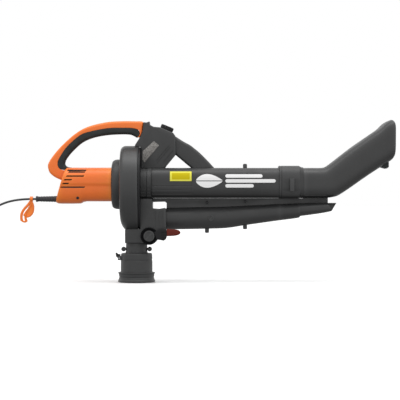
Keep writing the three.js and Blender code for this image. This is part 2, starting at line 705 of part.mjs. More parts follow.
const leadPoints = [
  [-559.6, 0, 249], [-580, 0, 248.8], [-601, 0, 247.6], [-623, 0, 244.8], [-645, 0, 239.6], [-667, 0, 231],
  [-688, 0, 218], [-705, 0, 201], [-718, 0, 180], [-726, 0, 157], [-730, 0, 132], [-731, -1, 107],
  [-731, -3, 82], [-730, -8, 58], [-729, -18, 36], [-728, -34, 18.5], [-727, -54, 8], [-726, -76, 3.8],
  [-725, -98, 3.6], [-724, -116, 5.2], [-723, -132, 9.2], [-722.5, -140, 10.5],
];

function buildLead() {
  const profile = [
    [0, -485], [11, -485], [11, -490.5], [9, -490.5], [9, -499], [8.8, -520], [7.6, -553], [8.6, -555],
    [8.6, -559], [0, -559],
  ];
  addPart('strain_relief', turned('x', profile, [0, 0, CORD_Z], 20), SOFT_BLACK, 0.7);
  const route = new THREE.CatmullRomCurve3(leadPoints.map((point) => new THREE.Vector3(...point)));
  const section = new THREE.Shape();
  section.absarc(0, 0, CORD_RADIUS, 0, 2 * Math.PI, false);
  const lead = new THREE.ExtrudeGeometry(section, {
    steps: 34, extrudePath: route, bevelEnabled: false, curveSegments: 5,
  });
  addPart('power_lead', solid(lead), SOFT_BLACK, 0.6);
  const plug = addGroup(-722.5, -141.2, 10.5);
  const body = [[-4.5, 0], [-5.5, -10], [-12, -14], [-13, -24], [-13, -38], [13, -38], [13, -24], [12, -14],
    [5.5, -10], [4.5, 0]];
  const plugBody = solid(extrusion(body, 20, 2).translate(0, 0, -10));
  addPart('plug_body', plugBody, SOFT_BLACK, 0.6, 0, plug);
  addPart('plug_pin_1', box(-7.1, -5.6, -56, -38.3, -3.2, 3.2), 0xc8b070, 0.3, 1, plug);
  addPart('plug_pin_2', box(5.6, 7.1, -56, -38.3, -3.2, 3.2), 0xc8b070, 0.3, 1, plug);
}

function buildHook() {
  const outline = [[4, -4], [-8, -8], [-22, -30], [-28, -48], [-24, -58], [-12, -66], [0, -68], [3, -62],
    [-8, -56], [-14, -48], [-12, -32], [-2, -14], [6, -8]];
  const hook = addGroup(-578, 0, 248.9);
  const eye = ring('x', 3.9, 8, -4, 5, [0, 0, 0], 16);
  const loop = sidePlate(outline, -2.5, 2.5, 0.8);
  const hooked = cut(join(eye, loop), rod('x', 3.9, -12, 12, [0, 0, 0], 16));
  addPart('retainer_hook', hooked, ORANGE, 0.5, 0, hook);
}

// Labels

function tubeDecal(outline) {
  const skin = duct(vacuumTube, -0.8).subtract(duct(vacuumTube, -GAP, 1));
  return skin.intersect(sidePlate(outline, -80, -10));
}

function buildLabels() {
  addPart('warning_label', tubeDecal([[-156, 302], [-92, 302], [-92, 330.5], [-156, 330.5]]), 0xd8cf1e, 0.5);
  const leaf = [
    [-79, 302.5], ...smooth([[-66, 317], [-40, 323.5], [-10, 320]], 8), [6, 302.5],
    ...smooth([[-10, 286], [-40, 281.5], [-66, 288]], 8),
  ];
  addPart('side_badge', tubeDecal(leaf), 0xf4f4f2, 0.5);
  const rating = [[-204, 422], [-189, 409], [-232, 358], [-239, 366], [-238, 391]];
  const face = -SWITCH_HALF_WIDTH;
  addPart('rating_label', sidePlate(rating, face - 0.9, face - GAP), 0x9a9894, 0.6);
}

buildMotorHousing();
buildRearCollar();
buildFanHousing();
buildRotor();
buildMotorInsides();
buildSwitchHousing();
buildSwitches();
buildTubes();
buildFrontTubes();
buildDiverter();
buildSelector();
buildBagCollar();
buildLead();
buildHook();
buildLabels();

export default model;
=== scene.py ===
"""Leaf vacuum mulcher: the looks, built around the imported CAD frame.

Outlines are in millimetres in the frame's own axes: +X to the nozzle, +Z up, -Y the right side.
"""
import math

import bmesh
import bpy
from mathutils import Matrix, Vector


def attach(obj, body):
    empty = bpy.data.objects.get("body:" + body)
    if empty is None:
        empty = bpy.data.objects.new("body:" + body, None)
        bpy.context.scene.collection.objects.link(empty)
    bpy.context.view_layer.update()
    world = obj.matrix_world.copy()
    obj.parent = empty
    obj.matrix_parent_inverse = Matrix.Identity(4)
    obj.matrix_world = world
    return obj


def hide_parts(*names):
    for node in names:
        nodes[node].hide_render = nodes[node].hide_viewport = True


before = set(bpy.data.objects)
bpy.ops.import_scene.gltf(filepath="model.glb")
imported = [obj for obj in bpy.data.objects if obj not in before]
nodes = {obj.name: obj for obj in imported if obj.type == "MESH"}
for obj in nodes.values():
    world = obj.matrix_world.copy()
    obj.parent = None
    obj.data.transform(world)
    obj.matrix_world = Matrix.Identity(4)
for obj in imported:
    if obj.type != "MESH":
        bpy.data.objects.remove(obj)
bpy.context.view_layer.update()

MM = 0.001

# Sizes shared by several pieces, in millimetres
AXIS_Z = 293
WALL = 2.6
DRUM_REAR_X, DRUM_SEAM_X, DRUM_FRONT_X = -304, -249, -244
DRUM_RADIUS, DRUM_DROP, DRUM_SIDES = 115, 143, 120
INLET_END_X, TUBE_SEAM_X, JOINT_END_X, FRONT_X = -209, 171, 241, 510
TUBE_CENTRE_Z, TUBE_HALF_HEIGHT, TUBE_HALF_WIDTH, TUBE_SQUARENESS = 297, 45, 55, 3.4
TUBE_TOP_Z, TUBE_BOTTOM_Z = TUBE_CENTRE_Z + TUBE_HALF_HEIGHT, TUBE_CENTRE_Z - TUBE_HALF_HEIGHT
CLEARANCE = 0.3
SEAM_HALF_GAP = 0.15
CHAMBER_HALF_WIDTH = 38
BRIDGE_SCREWS = ((-46, 238.5), (68, 241.5))
SWITCH_HALF_WIDTH = 24
NECK_X = -257
SELECTOR = (-218, 139)
CORD_Z, CORD_RADIUS = 249, 3.2
DIAL_FRAME = Matrix.Translation((-168.5, 0, 454.7)) @ Matrix.Rotation(math.radians(22), 4, "Y")


# ---------------------------------------------------------------- camera and lead

def add_camera():
    view_width, distance = 1.2, 4.0
    data = bpy.data.cameras.new("camera")
    data.sensor_width = 36
    data.lens = 36 * distance / view_width
    camera = bpy.data.objects.new("camera", data)
    camera.location = (-0.067, -distance, 0.246)
    camera.rotation_euler = (math.radians(90), 0, 0)
    bpy.context.collection.objects.link(camera)
    bpy.context.scene.camera = camera


add_camera()

LEAD_ROUTE = [
    (-559.6, 0, 249), (-580, 0, 248.8), (-601, 0, 247.6), (-623, 0, 244.8), (-645, 0, 239.6),
    (-667, 0, 231), (-688, 0, 218), (-705, 0, 201), (-718, 0, 180), (-726, 0, 157), (-730, 0, 132),
    (-731, -1, 107), (-731, -3, 82), (-730, -8, 58), (-729, -18, 36), (-728, -34, 18.5), (-727, -54, 8),
    (-726, -76, 3.8), (-725, -98, 3.6), (-724, -116, 5.2), (-723, -132, 9.2), (-722.5, -140, 10.5),
]


# ---------------------------------------------------------------- curves and outlines

def spline(points, pieces):
    """A Catmull-Rom curve through rows of numbers, with some pieces between each two."""
    rows = []
    last = len(points) - 1
    for i in range(last):
        a, b, c, d = (points[min(max(k, 0), last)] for k in (i - 1, i, i + 1, i + 2))
        for step in range(pieces):
            t = step / pieces
            rows.append(tuple(
                0.5 * (2 * q + (r - p) * t + (2 * p - 5 * q + 4 * r - s) * t * t
                       + (3 * q - p - 3 * r + s) * t ** 3)
                for p, q, r, s in zip(a, b, c, d)))
    rows.append(tuple(points[-1]))
    return rows


def signed_power(value, exponent):
    return math.copysign(abs(value) ** exponent, value)


def ring_angles(count, extra=()):
    """Even angles round a ring, with closer ones where a groove needs them."""
    angles = {round(2 * math.pi * i / count, 5) for i in range(count)}
    return sorted(angles | {round(a % (2 * math.pi), 5) for a in extra})


def oval(station, angles, inset=0.0):
    """One section of a duct: top and bottom points in X-Z, half width along Y, and squareness."""
    top_x, top_z, bottom_x, bottom_z, half_width, squareness = station
    top, bottom = Vector((top_x, 0, top_z)), Vector((bottom_x, 0, bottom_z))
    centre, up = (top + bottom) / 2, (top - bottom) / 2
    up *= (up.length - inset) / up.length
    across = Vector((0, half_width - inset, 0))
    return [centre + up * signed_power(math.sin(a), 2 / squareness)
            + across * signed_power(math.cos(a), 2 / squareness) for a in angles]


def turned_rings(profile, axis, centre, count=64):
    """Rings of [radius, place] pairs turned about an axis through centre."""
    rings = []
    for radius, place in profile:
        ring = []
        for i in range(count):
            a = 2 * math.pi * i / count
            u, v = radius * math.cos(a), radius * math.sin(a)
            offset = {"x": (place, u, v), "y": (v, place, u), "z": (u, v, place)}[axis]
            ring.append(Vector(centre) + Vector(offset))
        rings.append(ring)
    return rings


def rounded_profile(profile, radius, closed=False):
    """Replaces each corner of a profile by a small arc."""
    out = []
    count = len(profile)
    for i, point in enumerate(profile):
        if not closed and i in (0, count - 1):
            out.append(tuple(point))
            continue
        here = Vector(point)
        before = Vector(profile[i - 1]) - here
        after = Vector(profile[(i + 1) % count]) - here
        reach = min(radius, before.length * 0.45, after.length * 0.45)
        start, end = here + before.normalized() * reach, here + after.normalized() * reach
        for t in (0, 0.25, 0.5, 0.75, 1):
            out.append(tuple(start * (1 - t) ** 2 + here * 2 * t * (1 - t) + end * t * t))
    return out


# ---------------------------------------------------------------- meshes

def skin(rings, wrap=False):
    """Vertices and faces over a row of rings; wrap joins the last ring to the first."""
    sides = len(rings[0])
    verts = [point for ring in rings for point in ring]
    faces = []
    rows = len(rings) if wrap else len(rings) - 1
    for row in range(rows):
        here, there = row * sides, (row + 1) % len(rings) * sides
        for i in range(sides):
            j = (i + 1) % sides
            faces.append((here + i, here + j, there + j, there + i))
    if not wrap:
        faces.append(tuple(reversed(range(sides))))
        faces.append(tuple(range(len(verts) - sides, len(verts))))
    return verts, faces


def build(name, parts, smooth=35):
    """One mesh object, in millimetres, from (vertices, faces) pairs."""
    verts, faces = [], []
    for part_verts, part_faces in parts:
        offset = len(verts)
        verts += [Vector(v) * MM for v in part_verts]
        faces += [tuple(i + offset for i in face) for face in part_faces]
    mesh = bpy.data.meshes.new(name)
    mesh.from_pydata(verts, [], faces)
    obj = bpy.data.objects.new(name, mesh)
    bpy.context.collection.objects.link(obj)
    clean(obj, smooth)
    return obj


def clean(obj, smooth=35):
    """Welds, drops empty faces, turns the faces outwards and shades them smooth."""
    work = bmesh.new()
    work.from_mesh(obj.data)
    bmesh.ops.remove_doubles(work, verts=work.verts, dist=1e-6)
    bmesh.ops.dissolve_degenerate(work, edges=work.edges, dist=1e-7)
    bmesh.ops.recalc_face_normals(work, faces=work.faces)
    work.to_mesh(obj.data)
    work.free()
    obj.data.shade_smooth()
    obj.data.set_sharp_from_angle(angle=math.radians(smooth))


def plate(outline, low, high, rounding=0.0, axis="y"):
    """An outline with thickness along Y (outline in X-Z) or Z (outline in X-Y), its rims rounded."""
    work = bmesh.new()
    def place(a, b, level):
        return (a, level, b) if axis == "y" else (a, b, level)
    base = [work.verts.new(place(a, b, low)) for a, b in outline]
    face = work.faces.new(base)
    extruded = bmesh.ops.extrude_face_region(work, geom=[face])["geom"]
    lift = Vector(place(0, 0, high - low))
    bmesh.ops.translate(work, vec=lift, verts=[v for v in extruded if isinstance(v, bmesh.types.BMVert)])
    bmesh.ops.recalc_face_normals(work, faces=work.faces)
    if rounding:
        caps = [f for f in work.faces if len(f.verts) == len(outline)]
        rims = {e for f in caps for e in f.edges}
        bmesh.ops.bevel(work, geom=list(rims), offset=rounding, segments=3, profile=0.5,
                        affect="EDGES", clamp_overlap=True)
    work.verts.index_update()
    verts = [v.co.copy() for v in work.verts]
    faces = [tuple(v.index for v in f.verts) for f in work.faces]
    work.free()
    return verts, faces


def block(x, y, z, rounding=0.0):
    """A box from three (low, high) pairs."""
    outline = [(x[0], z[0]), (x[1], z[0]), (x[1], z[1]), (x[0], z[1])]
    return plate(outline, y[0], y[1], rounding)


def turned(profile, axis, centre, count=64, wrap=False):
    return skin(turned_rings(profile, axis, centre, count), wrap=wrap)


def rod(radius, low, high, axis, centre, count=64):
    """A plain cylinder between two places along its axis."""
    return turned([(0.01, low), (radius, low), (radius, high), (0.01, high)], axis, centre, count)


def sleeve(profile, rounding, axis, centre, count):
    """A hollow turned shape from the outline of its wall, with rounded corners."""
    return turned(rounded_profile(profile, rounding, True), axis, centre, count, wrap=True)


def fluted_rings(rows, teeth, depth, power, axis):
    """Rings about Z or Y; rows hold level, radius and the share of the flutes' depth."""
    rings = []
    for level, radius, flute in rows:
        ring = []
        for i in range(144):
            a = 2 * math.pi * i / 144
            r = radius - depth * flute * max(0.0, math.cos(teeth * a)) ** power
            u, v = r * math.cos(a), r * math.sin(a)
            ring.append(Vector((u, v, level) if axis == "z" else (u, level, v)))
        rings.append(ring)
    return rings


def moved(part, matrix):
    verts, faces = part
    return [matrix @ Vector(v) for v in verts], faces


def apply_modifiers(obj):
    """Applies an object's modifiers to its mesh."""
    depsgraph = bpy.context.evaluated_depsgraph_get()
    mesh = bpy.data.meshes.new_from_object(obj.evaluated_get(depsgraph))
    obj.modifiers.clear()
    old = obj.data
    obj.data = mesh
    bpy.data.meshes.remove(old)


def combine(obj, parts, operation, smooth=35):
    """Joins to, cuts from or crosses with an object one closed shape after another."""
    for part in parts:
        tool = build("tool", [part])
        modifier = obj.modifiers.new("combine", "BOOLEAN")
        modifier.operation = operation
        modifier.solver = "EXACT"
        modifier.object = tool
        apply_modifiers(obj)
        bpy.data.objects.remove(tool)
    clean(obj, smooth)


def carve(obj, parts, smooth=35):
    combine(obj, parts, "DIFFERENCE", smooth)


def finish_piece(obj, material, replaces=(), body="machine"):
    obj.data.materials.clear()
    obj.data.materials.append(material)
    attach(obj, body)
    if replaces:
        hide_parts(*replaces)
    return obj


def split_shells(whole, name, material, x, z):
    """Parts a housing down its middle into a right and a left shell."""
    for side, low, high in (("right", -70, -SEAM_HALF_GAP), ("left", SEAM_HALF_GAP, 70)):
        half = whole.copy()
        half.data = whole.data.copy()
        half.name = f"{name}_{side}_shell"
        bpy.context.collection.objects.link(half)
        combine(half, [block(x, (low, high), z)], "INTERSECT", 30)
        finish_piece(half, material, [f"{name}_{side}"])
    bpy.data.objects.remove(whole)


# ---------------------------------------------------------------- materials

def map_range(tree, source, from_low, from_high, low, high):
    node = tree.nodes.new("ShaderNodeMapRange")
    limits = {"From Min": from_low, "From Max": from_high, "To Min": low, "To Max": high}
    for key, value in limits.items():
        node.inputs[key].default_value = value
    tree.links.new(source, node.inputs["Value"])
    return node.outputs["Result"]


class Shader:
    """A node material on one Principled shader, with object coordinates in metres."""

    def __init__(self, name, colour, roughness, metallic=0.0):
        self.material = bpy.data.materials.new(name)
        self.material.use_nodes = True
        self.tree = self.material.node_tree
        self.principled = self.tree.nodes["Principled BSDF"]
        self.principled.inputs["Base Color"].default_value = (*colour, 1)
        self.principled.inputs["Roughness"].default_value = roughness
        self.principled.inputs["Metallic"].default_value = metallic
        self.colour = colour
        self.roughness = roughness
        self.coordinates = self.add("ShaderNodeTexCoord").outputs["Object"]
        self.bump_chain = None

    def add(self, kind, **inputs):
        node = self.tree.nodes.new(kind)
        for key, value in inputs.items():
            node.inputs[key.replace("_", " ")].default_value = value
        return node

    def link(self, source, target):
        self.tree.links.new(source, target)

    def noise(self, scale, detail=2.0, stretch=(1, 1, 1), turn=0):
        """Noise, stretched along the axes after a turn of so many degrees about Y."""
        mapping = self.add("ShaderNodeMapping", Scale=stretch, Rotation=(0, math.radians(turn), 0))
        self.link(self.coordinates, mapping.inputs["Vector"])
        noise = self.add("ShaderNodeTexNoise", Scale=scale, Detail=detail)
        self.link(mapping.outputs["Vector"], noise.inputs["Vector"])
        return noise.outputs["Fac"]

    def ranged(self, source, low, high, from_low=0.3, from_high=0.7):
        return map_range(self.tree, source, from_low, from_high, low, high)

    def tint(self, factor, colour):
        """Mixes another colour over what the base colour is so far."""
        mix = self.tree.nodes.new("ShaderNodeMix")
        mix.data_type = "RGBA"
        target = self.principled.inputs["Base Color"]
        mix.inputs[6].default_value = target.default_value
        if target.is_linked:
            self.link(target.links[0].from_socket, mix.inputs[6])
        mix.inputs[7].default_value = (*colour, 1)
        self.link(factor, mix.inputs[0])
        self.link(mix.outputs[2], target)

    def bump(self, height, strength, distance):
        node = self.add("ShaderNodeBump", Strength=strength, Distance=distance)
        self.link(height, node.inputs["Height"])
        if self.bump_chain:
            self.link(self.bump_chain, node.inputs["Normal"])
        self.bump_chain = node.outputs["Normal"]
        self.link(self.bump_chain, self.principled.inputs["Normal"])

    def vary_roughness(self, scale, spread, stretch=(1, 1, 1)):
        varied = self.ranged(self.noise(scale, 3, stretch), self.roughness - spread, self.roughness + spread)
        self.link(varied, self.principled.inputs["Roughness"])

    def worn_edges(self, colour, amount):
        """Lighter paint or plastic on the sharp outer edges."""
        pointiness = self.tree.nodes.new("ShaderNodeNewGeometry").outputs["Pointiness"]
        self.tint(self.ranged(pointiness, 0, amount, 0.505, 0.56), colour)


def scaled(colour, factor):
    return tuple(min(channel * factor, 1) for channel in colour)


def moulded_plastic(name, colour, roughness, grain_depth=0.00009, dust=0.12, gloss=0.5):
    shader = Shader(name, colour, roughness)
    shader.principled.inputs["Specular IOR Level"].default_value = gloss
    shader.tint(shader.ranged(shader.noise(11, 4), 0, 0.55), scaled(colour, 0.82))
    shader.tint(shader.ranged(shader.noise(170, 5), 0, dust, 0.5, 0.8), scaled(colour, 1.7))
    shader.worn_edges(scaled(colour, 1.9), 0.5)
    shader.vary_roughness(26, 0.06)
    shader.bump(shader.noise(1500, 3), 0.35, grain_depth)
    shader.bump(shader.noise(55, 2), 0.10, 0.0005)
    return shader.material


def rubber(name, colour, roughness=0.72):
    shader = Shader(name, colour, roughness)
    shader.tint(shader.ranged(shader.noise(60, 4), 0, 0.5), scaled(colour, 1.5))
    shader.worn_edges(scaled(colour, 2.4), 0.5)
    shader.vary_roughness(40, 0.08)
    cells = shader.add("ShaderNodeTexVoronoi", Scale=620)
    shader.link(shader.coordinates, cells.inputs["Vector"])
    shader.bump(cells.outputs["Distance"], 0.5, 0.00015)
    return shader.material


def turned_metal(name, colour, roughness, stretch=(40, 1, 1)):
    shader = Shader(name, colour, roughness, metallic=1.0)
    shader.tint(shader.ranged(shader.noise(30, 4), 0, 0.5), scaled(colour, 0.6))
    shader.vary_roughness(25, 0.1, stretch)
    shader.bump(shader.noise(60, 2, stretch), 0.25, 0.00006)
    return shader.material


def printed_film(name, colour, roughness, ink=None):
    shader = Shader(name, colour, roughness)
    shader.principled.inputs["Specular IOR Level"].default_value = 0.15
    shader.tint(shader.ranged(shader.noise(18, 3), 0, 0.35), scaled(colour, 0.9))
    if ink:
        shader.tint(shader.ranged(shader.noise(330, 1, (1, 1, 2.4), 37), 0, 0.95, 0.46, 0.56), ink)
    shader.vary_roughness(90, 0.07)
    shader.bump(shader.noise(300, 2), 0.15, 0.00008)
    return shader.material


ORANGE = moulded_plastic("orange_plastic", (0.88, 0.17, 0.018), 0.42, grain_depth=0.00006, dust=0.06)
# A darker copy of the orange plastic, as painted shade for the selector lever tip, which lies in shadow.
SHADED_ORANGE = moulded_plastic("painted_shade_orange_plastic", (0.10, 0.012, 0.006), 0.45, gloss=0.2)
DARK = moulded_plastic("dark_plastic", (0.031, 0.0315, 0.032), 0.5)
DARK_SMOOTH = moulded_plastic("dark_plastic_smooth", (0.034, 0.0345, 0.035), 0.42, grain_depth=0.00005)
BLACK = moulded_plastic("black_plastic", (0.009, 0.009, 0.010), 0.45, grain_depth=0.00006, gloss=0.25)
MATT_BLACK = moulded_plastic("matt_black_plastic", (0.0035, 0.0035, 0.004), 0.7, gloss=0.08)
GRIP = rubber("soft_grip", (0.012, 0.015, 0.015))
RUBBER = rubber("black_rubber", (0.022, 0.023, 0.025), 0.6)
BLACK_STEEL = turned_metal("blackened_steel", (0.05, 0.05, 0.052), 0.45)
STEEL = turned_metal("turned_steel", (0.52, 0.53, 0.55), 0.32)
LAMINATED = turned_metal("laminated_steel", (0.2, 0.2, 0.21), 0.5, (300, 1, 1))
ALUMINIUM = turned_metal("cast_aluminium", (0.6, 0.61, 0.62), 0.42, (3, 3, 3))
COPPER = turned_metal("copper", (0.62, 0.27, 0.12), 0.35, (90, 1, 1))
BRASS = turned_metal("plug_brass", (0.72, 0.55, 0.28), 0.3)
BOARD = moulded_plastic("board_green", (0.02, 0.12, 0.05), 0.4)
YELLOW = printed_film("yellow_film", (0.58, 0.47, 0.003), 0.5)
PALE_YELLOW = printed_film("pale_yellow_film", (0.78, 0.74, 0.09), 0.5)
WHITE = printed_film("white_print", (0.88, 0.88, 0.88), 0.5)
GREY_FILM = printed_film("grey_film", (0.34, 0.33, 0.31), 0.5, ink=(0.08, 0.07, 0.07))


# ---------------------------------------------------------------- power lead and what is on it

def add_lead():
    points = [Vector(p) * MM for p in spline(LEAD_ROUTE, 6)]
    curve = bpy.data.curves.new("power_cord", "CURVE")
    curve.dimensions = "3D"
    curve.bevel_depth = CORD_RADIUS * MM
    curve.bevel_resolution = 5
    curve.use_fill_caps = True
    line = curve.splines.new("POLY")
    line.points.add(len(points) - 1)
    for slot, point in zip(line.points, points):
        slot.co = (*point, 1)
    lead = bpy.data.objects.new("power_cord", curve)
    bpy.context.collection.objects.link(lead)
    lead.data.materials.append(RUBBER)
    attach(lead, "machine")
    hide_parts("power_lead")
    return lead, sum((b - a).length for a, b in zip(points, points[1:]))


def add_strain_relief():
    profile = [(0.01, -485), (11, -485), (11, -490.5), (9, -490.5), (9, -497)]
    for i in range(6):
        x, radius = -500 - 8 * i, 8.9 - 0.2 * i
        profile += [(radius, x), (radius, x - 5), (radius - 0.9, x - 5.6), (radius - 0.9, x - 7.2)]
    profile += [(7.7, -549), (7.6, -553), (8.9, -554.5), (8.9, -558), (7.5, -559), (0.01, -559)]
    relief = build("strain_relief_sleeve", [turned(profile, "x", (0, 0, CORD_Z), 48)], 40)
    return finish_piece(relief, RUBBER, ["strain_relief"])


def plug_outline(scale):
    return [(x * scale, y) for x, y in (
        (-4.2, 0), (-5, -8), (-8, -12.5), (-12, -15.5), (-13, -20), (-13, -37.5), (13, -37.5), (13, -20),
        (12, -15.5), (8, -12.5), (5, -8), (4.2, 0))]


def add_plug():
    centre = Matrix.Translation((-722.5, -141.2, 10.5))
    ribs = [block((-13.4, 13.4), (y, y + 1.6), (-6, 6), 0.5) for y in (-24, -27.5, -31)]
    body = plate(plug_outline(1), -10, 10, 3, axis="z")
    plug = build("plug", [moved(body, centre)] + [moved(rib, centre) for rib in ribs], 40)
    finish_piece(plug, RUBBER, ["plug_body"])
    pieces = [plug]
    for number, x in ((1, -6.35), (2, 6.35)):
        blade = block((x - 0.75, x + 0.75), (-56, -37.6), (-3.2, 3.2), 0.35)
        pin = build(f"plug_blade_{number}", [moved(blade, centre)])
        pieces.append(finish_piece(pin, BRASS, [f"plug_pin_{number}"]))
    return pieces


def strap(route, width, thickness):
    """A flat strap along a route in X-Z, its width across Y."""
    rings = []
    for i, (x, z) in enumerate(route):
        ahead, behind = route[min(i + 1, len(route) - 1)], route[max(i - 1, 0)]
        along = Vector((ahead[0] - behind[0], 0, ahead[1] - behind[1])).normalized()
        side = Vector((-along.z, 0, along.x))
        ring = []
        for k in range(16):
            a = 2 * math.pi * k / 16
            ring.append(Vector((x, 0, z)) + side * thickness / 2 * signed_power(math.cos(a), 0.55)
                        + Vector((0, width / 2, 0)) * signed_power(math.sin(a), 0.55))
        rings.append(ring)
    return skin(rings)


def add_hook():
    """An eye on the lead, a long strand, a filled teardrop loop and a hooked foot."""
    eye = sleeve([(4.1, -577), (7.8, -577), (7.8, -568), (4.1, -568)], 1, "x", (0, 0, 248.9), 40)
    strand = spline([(-574, 243), (-583, 231), (-594, 219), (-601, 207), (-603, 193), (-601, 183)], 6)
    loop = [(-573, 243), (-568, 231), (-567, 217), (-571, 205), (-580, 197), (-590, 197), (-592, 204),
            (-583, 217), (-575, 230)]
    rim = spline(loop + loop[:1], 5)
    foot = spline([(-590, 200), (-590, 190), (-587, 181)], 4)
    toe = spline([(-602, 185), (-597, 181.5), (-590, 181), (-586, 184)], 4)
    parts = [eye, strap(strand, 9, 8), strap(rim, 7, 6), strap(foot, 8, 7.5), strap(toe, 8, 5.5),
             plate(spline(loop + loop[:1], 3)[:-1], -1.2, 1.2)]
    profile = rounded_profile([(0.01, -6), (4.6, -6), (4.6, 6), (0.01, 6)], 1.6)
    knob = turned(profile, "y", (-592, 0, 201), 32)
    hook = build("cord_retainer", parts + [knob], 40)
    return finish_piece(hook, ORANGE, ["retainer_hook"], "cord_hook")


def declare_lead():
    lead, length = add_lead()
    pieces = add_plug() + [add_hook(), add_strain_relief()]


# ---------------------------------------------------------------- orange motor housing and rear handle

HANDLE_OUTER = [
    (-476, 303), (-500, 314), (-516, 327), (-521.5, 341), (-521, 355), (-507, 378), (-480, 409), (-439, 445),
    (-400, 466), (-346, 479), (-300, 482), (-262, 481.8), (-238.5, 480), (-238, 464), (-241, 448),
    (-248.5, 433),
]
HANDLE_EDGE = [
    (-462, 334), (-481, 336.5), (-489, 342), (-492.5, 350), (-492, 361), (-486, 374), (-465, 405),
    (-427, 438.5), (-396, 450.5), (-343, 460.5), (-300, 461.7), (-270, 461), (-253.5, 457), (-247.8, 450),
    (-247.3, 441), (-252, 434.5),
]
GRIP_EDGE = [
    (-453, 337.6), (-466, 336.6), (-480, 337), (-489, 342.5), (-492.2, 354), (-486, 373.8), (-465, 404.8),
    (-427, 438.2), (-396, 450.2), (-343, 460.2), (-300, 461.4), (-270, 460.6), (-254, 456.6), (-248.2, 449),
    (-247.8, 441),
]
GRIP_INNER = [
    (-451, 343.2), (-459, 344), (-466, 346.5), (-470.5, 351.5), (-471, 359), (-465, 372), (-448, 392.5),
    (-420, 417.5), (-388, 432), (-345, 440.5), (-300, 443), (-276, 441.8), (-264, 437), (-258, 433.5),
    (-253, 434),
]


def band(inner, outer, half_width, round_inner, round_outer, pieces=7):
    """A band between two rails in X-Z, with each of its long edges rounded."""
    rings = []
    for low, high in zip(spline(inner, pieces), spline(outer, pieces)):
        start, end = Vector((low[0], 0, low[1])), Vector((high[0], 0, high[1]))
        depth = (end - start).length
        up = (end - start).normalized()
        corners = []
        for sign_u, sign_v, radius in ((0, -1, round_inner), (1, -1, round_outer), (1, 1, round_outer),
                                       (0, 1, round_inner)):
            radius = min(radius, depth * 0.46)
            corner_u = radius if sign_u == 0 else depth - radius
            for step in range(7):
                a = math.pi / 2 * step / 6
                outward_u = -1 if sign_u == 0 else 1
                if (sign_u == 0) == (sign_v == -1):
                    du, dv = math.cos(a) * outward_u, math.sin(a) * sign_v
                else:
                    du, dv = math.sin(a) * outward_u, math.cos(a) * sign_v
                corners.append((corner_u + radius * du, sign_v * (half_width - radius) + radius * dv))
        rings.append([start + up * u + Vector((0, v, 0)) for u, v in corners])
    return skin(rings)


def motor_ring(station, angles, inset):
    """A section of the motor housing, narrower below its side crease."""
    points = oval(station, angles, inset)
    for point in points:
        drop = min(max((296 - point.z) / 9, 0), 1)
        point.y *= 1 - 3.2 * drop / 52
    return points


def add_motor_housing():
    crease = [math.asin(t) for t in (0.16, 0.1, 0.05, 0.02, 0.0, -0.02, -0.05, -0.1, -0.16)]
    angles = ring_angles(104, crease + [math.pi - a for a in crease])
    stations = [
        (-331, 343, -331, 242, 52, 3), (-345, 343, -345, 242, 52, 3), (-380, 343, -380, 242, 52, 3),
        (-405, 343, -406, 242, 52, 3), (-417, 343, -416, 240, 52, 3), (-424, 343, -424, 235.6, 52, 3),
        (-440, 343, -447, 235, 52, 3), (-456, 343, -478, 235, 52, 3), (-463, 343, -490, 235.5, 52, 3),
    ]
    outer = [motor_ring(s, angles, 0) for s in stations]
    rear = (-466, 341.5, -496, 238, 51, 3)
    outer += [motor_ring(rear, angles, d) for d in (0, 1.2, 3, 8)]
    shift = Vector((-1.6, 0, 0))
    outer[-3] = [p + shift * 0.5 for p in outer[-3]]
    outer[-2] = [p + shift for p in outer[-2]]
    outer[-1] = [p + shift for p in outer[-1]]
    inner = [motor_ring(s, angles, WALL) for s in stations[:-1]]
    inner.append(motor_ring((-460, 341, -486, 240, 50, 3), angles, WALL))
    housing = build("motor_housing", [skin(outer)], 30)
    carve(housing, [skin([[p + Vector((6, 0, 0)) for p in inner[0]]] + inner)])
    combine(housing, [band(HANDLE_EDGE, HANDLE_OUTER, 17, 0.6, 8)], "UNION")
    rows = ((-459, -409, 329), (-465, -412, 317), (-472, -448, 306), (-476, -457, 295), (-482, -410, 284))
    cutters = []
    for low, high, z in rows:
        corners = [(low, z - 2.1), (high, z - 2.1), (high + 3, z + 2.1), (low + 3, z + 2.1)]
        slot = rounded_profile(corners, 1.8, True)
        cutters += [plate(slot, -60, -38), plate(slot, 38, 60)]
    cutters.append(rod(4.6, -60, -45.5, "y", (-430, 0, 252), 32))
    cutters.append(rod(9.2, -510, -480, "x", (0, 0, CORD_Z), 48))
    carve(housing, cutters, 30)
    split_shells(housing, "motor_housing", ORANGE, (-560, -200), (150, 560))
    # Black sheets just inside the vent slots, as painted shade: they darken the slots where the motor space behind
    # them would lie in shadow.
    for side, upper, lower in (("right", -41.5, -47.2), ("left", 40, 45.7)):
        plates = [plate([(-405, 291), (-405, 336), (-460, 336), (-471, 291)], upper, upper + 1.5),
                  plate([(-405, 279), (-405, 290.6), (-473, 290.6), (-476, 279)], lower, lower + 1.5)]
        shade_sheet = build(f"vent_shade_sheet_{side}", plates, 30)
        finish_piece(shade_sheet, BLACK)


def add_grip():
    grip = build("handle_soft_grip", [band(GRIP_INNER, GRIP_EDGE, 17, 9, 0.5)], 40)
    finish_piece(grip, GRIP, ["handle_grip"])


# ---------------------------------------------------------------- fan housing

def add_rear_collar():
    profile = [
        (57, -330.6), (60, -330.6), (68, -328.6), (71.5, -325), (73.6, -320), (74.5, -314), (74.5, -304.2),
        (20, -304.2), (20, -311), (71, -311), (70, -318), (67, -325), (57, -327.4),
    ]
    collar = build("rear_bearing_collar", [sleeve(profile, 1.5, "x", (0, 0, AXIS_Z), 96)], 40)
    finish_piece(collar, DARK, ["rear_collar"])


